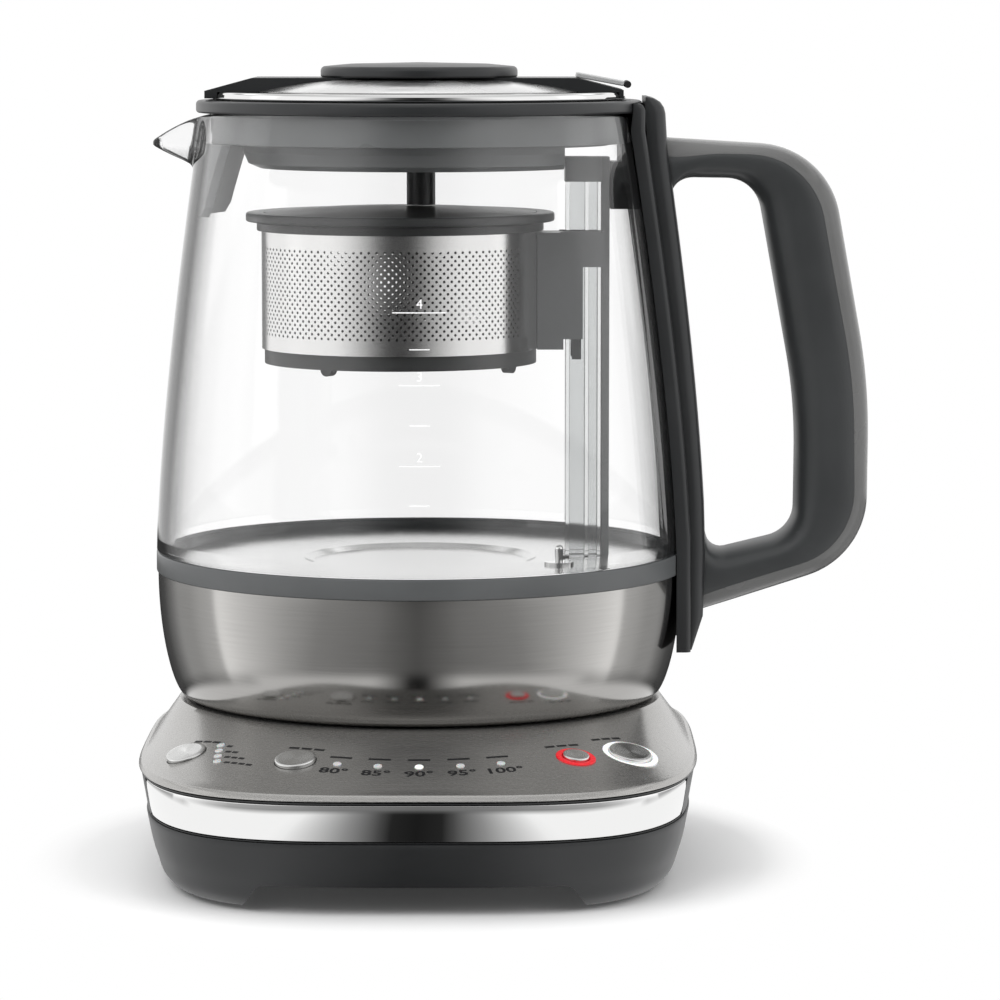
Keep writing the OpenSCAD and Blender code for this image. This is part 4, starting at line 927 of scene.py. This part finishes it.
def inner_path():
    foot = GLASS_FOOT_R
    top = face_x(at_share(0.93))
    return open_path([(top - 0.5, at_share(0.74)), (top + 1, at_share(0.853), 9),
                      (foot + GRIP_REACH - 34.8, at_share(0.85), 11),
                      (foot + GRIP_REACH - 22.3, at_share(0.34), 160),
                      (foot + GRIP_REACH - 22.6, at_share(0.04), 10), (foot + 8.6, at_share(-0.006), 5),
                      (foot + 6.0, at_share(0.06))], 14)


GRIP_POWER, GRIP_RINGS, GRIP_SIDES = 0.72, 150, 48


def grip_rings(depth, inside):
    """Rings of the grip's rounded section, cut flat at a depth from its outer line."""
    outer, inner = outer_path(), inner_path()
    rings = []
    for i in range(GRIP_RINGS + 1):
        o, n = along(outer, i / GRIP_RINGS), along(inner, i / GRIP_RINGS)
        d = (n - o).length
        way = (n - o) / d
        edge = math.degrees(math.acos(signed_power(1 - 2 * depth / d, 1 / GRIP_POWER)))
        start, end = (edge, 360 - edge) if inside else (-edge, edge)
        ring = []
        for k in range(GRIP_SIDES + 1):
            a = mix(start, end, k / GRIP_SIDES)
            p = o + way * d / 2 * (1 - signed_power(cos(a), GRIP_POWER))
            ring.append((p.x, -GRIP_W / 2 * signed_power(sin(a), GRIP_POWER), p.y))
        rings.append(ring)
    return rings


def plate_rings():
    """The plate that carries the grip, from its foot to its rounded top."""
    levels = [STRAP_Z + 0.2, STRAP_Z + 4, at_share(-0.145), at_share(-0.07), at_share(0)]
    levels += [at_share(0.04 + 0.88 * k / 22) for k in range(1, 23)]
    low = GLASS_FOOT_R
    face = [(STRAP_Z, low + 2.2), (at_share(-0.145), low + 5.8), (at_share(0), low + 6.4)]
    face += [(at_share(0.04 + 0.88 * k / 12), face_x(at_share(0.04 + 0.88 * k / 12))) for k in range(1, 13)]
    rows = [(lookup(z, face), z) for z in levels]
    top = GLASS_RIM_R + 8.2
    rows += [(top, HUMP_TOP - 5), (top - 0.5, HUMP_TOP - 3.2), (top - 1.6, HUMP_TOP - 1.6),
             (top - 3.2, HUMP_TOP - 0.6), (top - 5, HUMP_TOP - 0.1)]
    rings = []
    for x, z in rows:
        seam = GLASS_FOOT_R + 1.8 if z < at_share(0.04) else seam_x(min(z, at_share(0.96)))
        if z > STRAP_TOP - 1:
            seam = GLASS_RIM_R + COLLAR_PROUD + 0.5
        seam = min(seam, x - 0.6)
        corner_r = min(3.4, (x - seam) * 0.8)
        half = PLATE_W / 2
        front = round_front(x, half, corner_r, z, (0, 22, 45, 67, 90))
        rings.append([(seam, -half, z)] + front + [(seam, half, z)])
    return rings


def handle():
    inside, outside = grip_rings(SPINE_T, True), grip_rings(SPINE_T - 0.05, False)
    piece("grip", "jug", "dark_plastic", loft(inside), GRIP, ["handle_grip"], sharp=45)
    piece("plate", "jug", "dark_plastic", loft(plate_rings()), DARK, sharp=45)
    piece("spine", "jug", "mid_plastic", loft(outside), SPINE, ["handle_spine"], sharp=45)


# ---------- lid ----------
def dome_z(r):
    return DOME_Z + DOME_H * (1 - (r / DOME_R) ** DOME_POWER)


def lid():
    inner, foot = CUP_R - 8, LID_Z + 0.4
    rim = rounded([(inner, LID_Z, 0), (LID_R, LID_Z, 0.5), (LID_R, DOME_Z, 1.1), (inner, DOME_Z, 0)], 5)
    piece("lid_band", "lid", "bright_steel", lathe(rim, 256), CHROME, ["lid_rim"])
    top = [(DOME_R * sin(90 * k / 40), dome_z(DOME_R * sin(90 * k / 40))) for k in range(39, -1, -1)]
    dome = [(0, DOME_Z + 0.01), (DOME_R + 0.2, DOME_Z + 0.01), (DOME_R + 0.3, DOME_Z + 0.2)] + top
    piece("lid_cap", "lid", "bright_steel", lathe(dome, 256), LID_STEEL, ["lid_dome"])
    low = DOME_Z + 0.05
    outline = [(-BRIDGE_R, foot), (-BRIDGE_R, DOME_Z + 0.4), (0.5 - DOME_R, BRIDGE_Z), (DOME_R - 3, BRIDGE_Z),
               (BRIDGE_R - 2.5, DOME_Z + 0.6), (BRIDGE_R - 2.5, foot), (LID_R - 4, foot), (LID_R - 4, low),
               (4 - LID_R, low), (4 - LID_R, foot)]
    band = lathe([(0, LID_Z - 5), (LID_R + 0.1, LID_Z - 5), (LID_R + 0.1, DOME_Z), (0, DOME_Z)], 192)
    bridge = piece("bridge", "lid", "dark_plastic", prism(outline[::-1], BRIDGE_W - 0.4), DARK,
                   ["lid_bridge"], [band], sharp=30)
    bevel(bridge, 0.5, 3)
    z = BRIDGE_Z
    knob = rounded([(0, z, 0), (KNOB_R - 0.5, z, 0.2), (KNOB_R, z + 0.5, 0.3),
                    (KNOB_R, z + 0.72 * KNOB_H, 1.6), (KNOB_R - 9, z + 0.9 * KNOB_H, 12),
                    (0, z + KNOB_H, 0)], 8)
    piece("knob", "lid", "dark_plastic", lathe(knob), DARK, ["lid_knob"], sharp=60)
    thumb_tab()


def thumb_tab():
    run, drop = BRIDGE_R - 2.5 - DOME_R + 3, BRIDGE_Z - DOME_Z - 0.6
    place = Matrix.Translation(((DOME_R - 3) * MM, 0, (BRIDGE_Z + 0.02) * MM))
    place = place @ Matrix.Rotation(math.atan2(drop, run) - math.radians(4), 4, "Y")
    end, low, high = TAB_L - 2 * TIP_R, 0.02, 0.02 + TAB_T
    tab = moved(prism([(0, high), (end, high), (end, low), (0, low)], TAB_W), place)
    bevel(piece("tab", "lid", "mid_plastic", tab, TAB, ["lid_tab"]), 0.45, 3)
    ends = [(TAB_L - TIP_R + TIP_R * cos(t), TAB_T / 2 + TIP_R * sin(t)) for t in range(0, 360, 15)]
    tip = moved(prism(ends[::-1], TAB_W), place)
    bevel(piece("tab_end", "lid", "rubber", tip, RUBBER, ["tab_tip"]), 0.3, 2)


# ---------- tea basket ----------
PITCH, ROW, HOLE_R = 2.35, 1.2, 0.43
DRUM_T = 0.5


def perforated(arc, height):
    """A flat sheet of diamonds, each with a hole: points (along, up) and faces."""
    columns, rows = int(arc / PITCH), int(height / ROW) - 1
    step, rise = arc / columns, height / (rows + 1)
    verts, index, faces = [], {}, []
    corners = [(step / 2, 0), (step / 4, rise / 2), (0, rise), (-step / 4, rise / 2), (-step / 2, 0),
               (-step / 4, -rise / 2), (0, -rise), (step / 4, -rise / 2)]
    sides = len(corners)

    def point(u, v):
        key = (round(u, 4), round(v, 4))
        if key not in index:
            index[key] = len(verts)
            verts.append(key)
        return index[key]

    def middle(i, j):
        return (i + 0.5 + j % 2 / 2) * step, (j + 1) * rise

    for j in range(rows):
        for i in range(columns - j % 2):
            cu, cv = middle(i, j)
            out = [point(cu + x, cv + y) for x, y in corners]
            inside = [point(cu + HOLE_R * cos(45 * k), cv + HOLE_R * sin(45 * k)) for k in range(sides)]
            faces += [(out[k], out[(k + 1) % sides], inside[(k + 1) % sides], inside[k])
                      for k in range(sides)]
    for j, edge in ((0, 0.0), (rows - 1, height)):
        near = edge + (-rise / 2 if j else rise / 2)
        count = columns - j % 2
        for i in range(count - 1):
            cu, cv = middle(i, j)
            loop = [point(cu + k * step / 4, v) for k, v in enumerate((edge, near, cv, near, edge))]
            faces.append(tuple(loop if j else loop[::-1]))
        (first, cv), (last, _) = middle(0, j), middle(count - 1, j)
        low = [(0, edge), (first - step / 2, cv), (first - step / 4, near), (first, edge)]
        high = [(arc, edge), (last, edge), (last + step / 4, near), (last + step / 2, cv)]
        for loop in (low, high):
            unique = list(dict.fromkeys(point(u, v) for u, v in loop))
            faces.append(tuple(unique if j else unique[::-1]))
    for j in range(rows - 1):
        insets = (step / 2, step / 4, 0) if j % 2 else (0, step / 4, step / 2)
        for edge, side in ((0, 1), (arc, -1)):
            loop = [(edge, (j + 1) * rise)]
            loop += [(edge + side * inset, (j + 1 + k / 2) * rise) for k, inset in enumerate(insets)]
            unique = list(dict.fromkeys(point(u, v) for u, v in loop + [(edge, (j + 2) * rise)]))
            faces.append(tuple(unique[::side]))
    return verts, [f for f in faces if len(set(f)) > 2]


def drum():
    """The steel drum: two perforated panels and plain bands, made as one sheet and thickened."""
    z0, z1 = DRUM_Z + 3.8, DRUM_Z + 32.2
    shapes = []
    for start, end in ((-162, -31), (31, 162)):
        flat, faces = perforated(math.radians(end - start) * DRUM_R, z1 - z0)

        def turned(u):
            return start + math.degrees(u / DRUM_R)

        shapes.append(([polar(DRUM_R, turned(u), z0 + v, BASKET_X) for u, v in flat], faces))
        edge = [turned(u) for u in sorted({u for u, v in flat if v == 0.0})]
        shapes += [sheet_strip(edge, low, high) for low, high in ((DRUM_Z, z0), (z1, DRUM_TOP))]
        tall = sorted({v for u, v in flat if u == 0.0})
    levels = [DRUM_Z] + [z0 + v for v in tall] + [DRUM_TOP]
    for start, end in ((-31, 31), (162, 198)):
        angles = [mix(start, end, k / 24) for k in range(25)]
        shapes += [sheet_strip(angles, low, high) for low, high in zip(levels, levels[1:])]
    obj = piece("drum_sheet", "basket", "brushed_steel", joined(*shapes), DRUM, ["basket_drum"], sharp=40)
    thick = obj.modifiers.new("thickness", "SOLIDIFY")
    thick.thickness = DRUM_T * MM
    thick.offset = -1
    thick.use_even_offset = True
    # The inner face gets the darker steel: painted shade
    obj.data.materials.append(DRUM_INSIDE_SHADE)
    thick.material_offset = 1
    bake_modifiers(obj)
    soften(obj, 40)


def sheet_strip(angles, low, high):
    verts = [polar(DRUM_R, a, z, BASKET_X) for a in angles for z in (low, high)]
    return verts, strip_faces(len(angles) - 1)


def basket():
    inner, outer, neck = DRUM_R - DRUM_WALL - 1.6, DRUM_R + RIM_PROUD, DRUM_R + 1.4
    seat, z, top_z = DRUM_R - 0.6, DRUM_TOP, BASKET_RIM_TOP
    rim = rounded([(inner, z + 0.01, 0), (neck, z + 0.01, 0.3), (neck, z + RIM_LOW_H, 0.3),
                   (outer, z + RIM_LOW_H + 0.4, 0.6), (outer, top_z, 0.8), (seat, top_z, 0.2),
                   (seat, top_z - 1.8, 0), (inner, top_z - 1.8, 0)], 4)
    piece("rim_ring", "basket", "dark_plastic", lathe(rim, x=BASKET_X), BASKET, ["basket_rim"])
    r = seat - 0.3
    top = [(r * k / 20, top_z + BASKET_LID_H * (1 - (k / 20) ** 2)) for k in range(20, -1, -1)]
    cap = [(0, top_z - 1.5), (r, top_z - 1.5)] + top
    piece("basket_cap", "basket_lid", "dark_plastic", lathe(cap, x=BASKET_X), BASKET, ["basket_lid"])


# ---------- marks on the glass ----------
# The jug's marks: where they lie along X, and each one's height and width
MARKS_X = 1.3
LEVELS = {4: (172.2, 16), 3: (151.1, 12), 2: (127.6, 12)}
HALF_LEVELS, HALF_LEVEL_W = (161.5, 139.4, 116.1), 6


def glass_marks():
    """Level numbers with short lines, printed on the front of the jug."""
    def level(z0):
        def where(x, y, lift):
            r = glass_r(z0 + y) + MARK_LIFT + lift
            px = MARKS_X + x
            return px, -math.sqrt(r * r - px * px), z0 + y
        return where
    for number, (z, width) in LEVELS.items():
        lines = joined(shifted(glyphs(str(number), 4.0), 0, 2.4), bar(width, 0.32))
        printed("level_%d" % number, "jug", "white_light", lines, MARK, level(z))
    for k, z in enumerate(HALF_LEVELS):
        printed("half_level_%d" % k, "jug", "white_light", bar(HALF_LEVEL_W, 0.3), MARK, level(z))


# ---------- carried pieces ----------
CARRIED = [
    (DARK, "base_connector", "mast_block", "lid_stem", "basket_latch"),
    (BOARD, "power_board", "control_board"),
    (RUBBER, "rubber_feet", "switches", "cord_inlet", "jug_connector", "spout_strainer"),
    (SCREW, "base_screws", "bottom_cover_screws", "handle_screws"), (SILICONE, "glass_seal", "lid_gasket"),
    (INNER, "spout_filter", "tube_cap", "lid_plug"), (MID, "mast_strip", "basket_bracket"),
    (PLATE_STEEL, "heating_plate"), (CAST, "heating_element"), (HOUSING, "jug_bottom_cover"),
    (CHROME, "temperature_probe"), (CLEAR, "riser_tube"), (BASKET, "basket_foot_ring"),
    (DRUM, "basket_floor"),
]


def carried():
    for material, *nodes in CARRIED:
        for node in nodes:
            materials = frame["nodes"][node].data.materials
            materials.clear()
            materials.append(material)


# ---------- studio ----------
CAMERA = (24.8, -1368, 257.1)
CAMERA_PITCH, LENS = 6.17, 159.8


def camera():
    data = bpy.data.cameras.new("camera")
    data.lens = LENS
    data.sensor_width = 36
    data.clip_start = 0.05
    data.clip_end = 50
    obj = bpy.data.objects.new("camera", data)
    obj.location = Vector(CAMERA) * MM
    obj.rotation_euler = (math.radians(90 - CAMERA_PITCH), 0, 0)
    bpy.context.scene.collection.objects.link(obj)
    bpy.context.scene.camera = obj


# Brightness of the studio by direction, from straight behind the camera (0) to the backdrop (1)
STUDIO = [(0.0, 0.02), (0.04, 0.05), (0.08, 0.14), (0.12, 0.40), (0.17, 0.80), (0.25, 1.0), (0.46, 1.0),
          (0.49, 1.3), (0.57, 1.3), (0.60, 1.0), (1.0, 1.0)]
# Dark towards the sides of the backdrop for light that glass throws back inside its wall
GLASS_EDGE = [(0.0, 1.0), (0.77, 1.0), (0.81, 0.12), (0.90, 0.12), (0.935, 1.0), (1.0, 1.0)]
# Brightness of the room's ceiling by the sine of the height, and the heights where it begins
CEILING = [(0.0, 0.35), (0.46, 0.35), (0.50, 0.75), (0.53, 1.4), (0.57, 1.3), (0.61, 0.9), (0.65, 0.62),
           (0.70, 0.55), (0.85, 0.7), (1.0, 0.9)]
CEILING_FROM, CEILING_TO = 0.40, 0.46
SKY_LEVEL = 0.62
SECOND_BOUNCE = 0.6
WHITE_VIEW = (1, 1, 1, 1)


def share_of_turn(tree, x, front):
    """Direction as a share of the way from the front (0) to the back (1), on either side."""
    return maths(tree, "DIVIDE", maths(tree, "ARCTAN2", maths(tree, "ABSOLUTE", x), front), math.pi)


def world():
    scene_world = bpy.data.worlds.new("studio")
    bpy.context.scene.world = scene_world
    scene_world.use_nodes = True
    tree = scene_world.node_tree
    tree.nodes.clear()
    x, y, z = split(tree, add(tree, "TexCoord", out="Generated"))
    turn = share_of_turn(tree, x, maths(tree, "MULTIPLY", y, -1))
    height = maths(tree, "MAXIMUM", z, 0)
    overhead = ramp(tree, height, [(0.0, 0.0), (CEILING_FROM, 0.0), (CEILING_TO, 1.0), (1.0, 1.0)])
    room = add(tree, "MixRGB", overhead, ramp(tree, turn, STUDIO), ramp(tree, height, CEILING))
    path = tree.nodes.new("ShaderNodeLightPath").outputs
    mirror = add(tree, "Background", room, dimmed(tree, path, turn))
    plain = add(tree, "Background", WHITE_VIEW, 1.0)
    shade = by_ray(tree, path, add(tree, "Background", WHITE_VIEW, SKY_LEVEL), mirror, plain)
    tree.links.new(shade, tree.nodes.new("ShaderNodeOutputWorld").inputs["Surface"])


def by_ray(tree, path, other, mirror, plain):
    """One shade for mirror rays, a plain one for the camera and through glass, another for the rest."""
    for share, view in ((path["Is Transmission Ray"], plain), (mirrored(tree, path), mirror),
                        (path["Is Camera Ray"], plain)):
        other = blended(tree, share, other, view)
    return other


def mirrored(tree, path):
    """1 for a ray off a shiny surface, also when it has gone through glass since."""
    bounced = maths(tree, "GREATER_THAN", path["Glossy Depth"], 0.5)
    return maths(tree, "MULTIPLY", path["Is Glossy Ray"], bounced)


def dimmed(tree, path, turn):
    """Light that metal shows, weaker after a second bounce, as in a gap, and at the edges of glass."""
    again = maths(tree, "GREATER_THAN", path["Glossy Depth"], 1.5)
    gap = maths(tree, "SUBTRACT", 1, maths(tree, "MULTIPLY", again, 1 - SECOND_BOUNCE))
    loss = maths(tree, "SUBTRACT", 1, ramp(tree, turn, GLASS_EDGE))
    edge = maths(tree, "SUBTRACT", 1, maths(tree, "MULTIPLY", loss, path["Is Transmission Ray"]))
    return maths(tree, "MULTIPLY", gap, edge)


# Each lamp's name, place, size and power
LAMPS = [("key", (-700, -900, 1100), 900, 9.0), ("fill", (900, -700, 900), 900, 5.0),
         ("top", (0, 100, 1300), 1200, 9.0)]


def lamps():
    for name, place, size, power in LAMPS:
        data = bpy.data.lights.new(name, "AREA")
        data.size = size * MM
        data.energy = power
        obj = bpy.data.objects.new(name, data)
        obj.location = Vector(place) * MM
        way = Vector((0, 0, 0.1)) - obj.location
        obj.rotation_euler = way.to_track_quat("-Z", "Y").to_euler()
        obj.visible_glossy = False
        obj.visible_transmission = False
        bpy.context.scene.collection.objects.link(obj)


FLOOR_R = 6000
# The oval of the floor round the base that is shaded, in metres, and where it has gone over to plain white
SHADE_X, SHADE_Y, SHADE_MIDDLE = 0.105, 0.125, -0.015
SHADE_END = 1.16
FLOOR_LIFT = 0.03
# What polished metal shows of the floor: a dark strip close to the base, by distance from the middle
# in metres, and a dark wedge farther out, by direction
STRIP = [(0.0, 0.012), (0.009, 0.02), (0.024, 0.3), (0.051, 0.95), (0.058, 1.0), (1.0, 1.0)]
WEDGE = [(0.0, 0.012), (0.06, 0.03), (0.10, 0.13), (0.16, 0.38), (0.21, 0.62), (0.28, 0.93), (0.32, 1.0),
         (1.0, 1.0)]
STRIP_END, WEDGE_START = 0.26, 0.45
# Cards on the floor, which the bowl shows: by direction from the nearer side point of the bowl
CARDS = [(0.0, 0.28), (0.111, 0.35), (0.206, 0.414), (0.311, 0.65), (0.419, 0.98), (0.481, 1.2),
         (0.539, 1.47), (0.556, 1.5), (0.568, 0.77), (0.622, 0.69), (0.672, 0.53), (0.736, 0.49),
         (0.783, 0.26), (0.839, 0.10), (0.917, 0.05), (1.0, 0.05)]
CARDS_POINT = (0.058, 0.055)
CARDS_MIDDLE = [(0.0, 0.55), (0.05, 0.8), (0.09, 1.0), (1.0, 1.0)]
CARDS_FADE = [(0.0, 0.03), (0.14, 0.06), (0.165, 0.25), (0.19, 0.6), (0.215, 1.0), (1.0, 1.0)]
CARDS_FROM, CARDS_TO = 0.188, 0.9
CARDS_SIDE, CARDS_NEAREST = 0.075, 0.168


def floor_view(finish, x, forward, far, around):
    """What polished metal shows of the floor."""
    tree = finish.tree
    side = maths(tree, "ABSOLUTE", x)
    share = finish.span(forward, 0, 1, STRIP_END, WEDGE_START)
    view = finish.add("MixRGB", share, ramp(tree, side, STRIP), ramp(tree, around, WEDGE))
    outward = maths(tree, "MAXIMUM", maths(tree, "SUBTRACT", side, CARDS_POINT[0]), 0)
    turn = share_of_turn(tree, outward, maths(tree, "SUBTRACT", forward, CARDS_POINT[1]))
    cards = ramp(tree, turn, CARDS)
    for value, stops in ((around, CARDS_MIDDLE), (far, CARDS_FADE)):
        cards = finish.add("MixRGB", 1.0, cards, ramp(tree, value, stops), blend_type="MULTIPLY")
    beside = maths(tree, "MULTIPLY", finish.span(forward, 1, 0, CARDS_SIDE - 0.01, CARDS_SIDE + 0.01),
                   finish.span(far, 0, 1, CARDS_NEAREST, CARDS_NEAREST + 0.02))
    near = maths(tree, "MAXIMUM", finish.span(far, 0, 1, CARDS_FROM, CARDS_FROM + 0.02), beside)
    near = maths(tree, "MULTIPLY", near, finish.span(far, 1, 0, CARDS_TO, CARDS_TO + 0.1))
    return finish.add("MixRGB", near, view, cards)


def floor():
    """A white floor that keeps the part's shadow, and shows metal and glass the studio round it."""
    edge = FLOOR_R
    corners = [(-edge, -edge, 0), (edge, -edge, 0), (edge, edge, 0), (-edge, edge, 0)]
    obj = raw_object("floor", corners, [(0, 1, 2, 3)])
    finish = Finish("floor_paper", (0.84, 0.84, 0.84), 0.9, specular=0.1)
    finish.vary_roughness(finish.noise(3), 0.85, 0.95)
    tree, place = finish.tree, finish.place()
    x, y, _ = split(tree, place)
    forward = maths(tree, "MULTIPLY", y, -1)
    around = share_of_turn(tree, x, forward)
    path = tree.nodes.new("ShaderNodeLightPath").outputs
    shown = floor_view(finish, x, forward, length(tree, place), around)
    mirror = finish.add("Emission", shown, dimmed(tree, path, around))
    paper = finish.shader.outputs[0]
    lifted = finish.add("AddShader", paper, finish.add("Emission", None, FLOOR_LIFT))
    oval = finish.add("CombineXYZ", maths(tree, "DIVIDE", x, SHADE_X),
                      maths(tree, "DIVIDE", maths(tree, "SUBTRACT", y, SHADE_MIDDLE), SHADE_Y))
    white = finish.span(length(tree, oval), 0, 1, 1, SHADE_END)
    plain = blended(tree, white, lifted, finish.add("Emission", None, 1.0))
    finish.show(by_ray(tree, path, paper, mirror, plain))
    obj.data.materials.append(finish.mat)


STEPS = (camera, world, lamps, floor, carried, housing, frame_ring, bright_band, cover_shell, controls,
         cover_marks, bowl, trim, glass, collar, strap, handle, lid, drum, basket, glass_marks)


def main():
    bpy.context.scene.view_settings.view_transform = "Standard"
    for step in STEPS:
        step()


main()
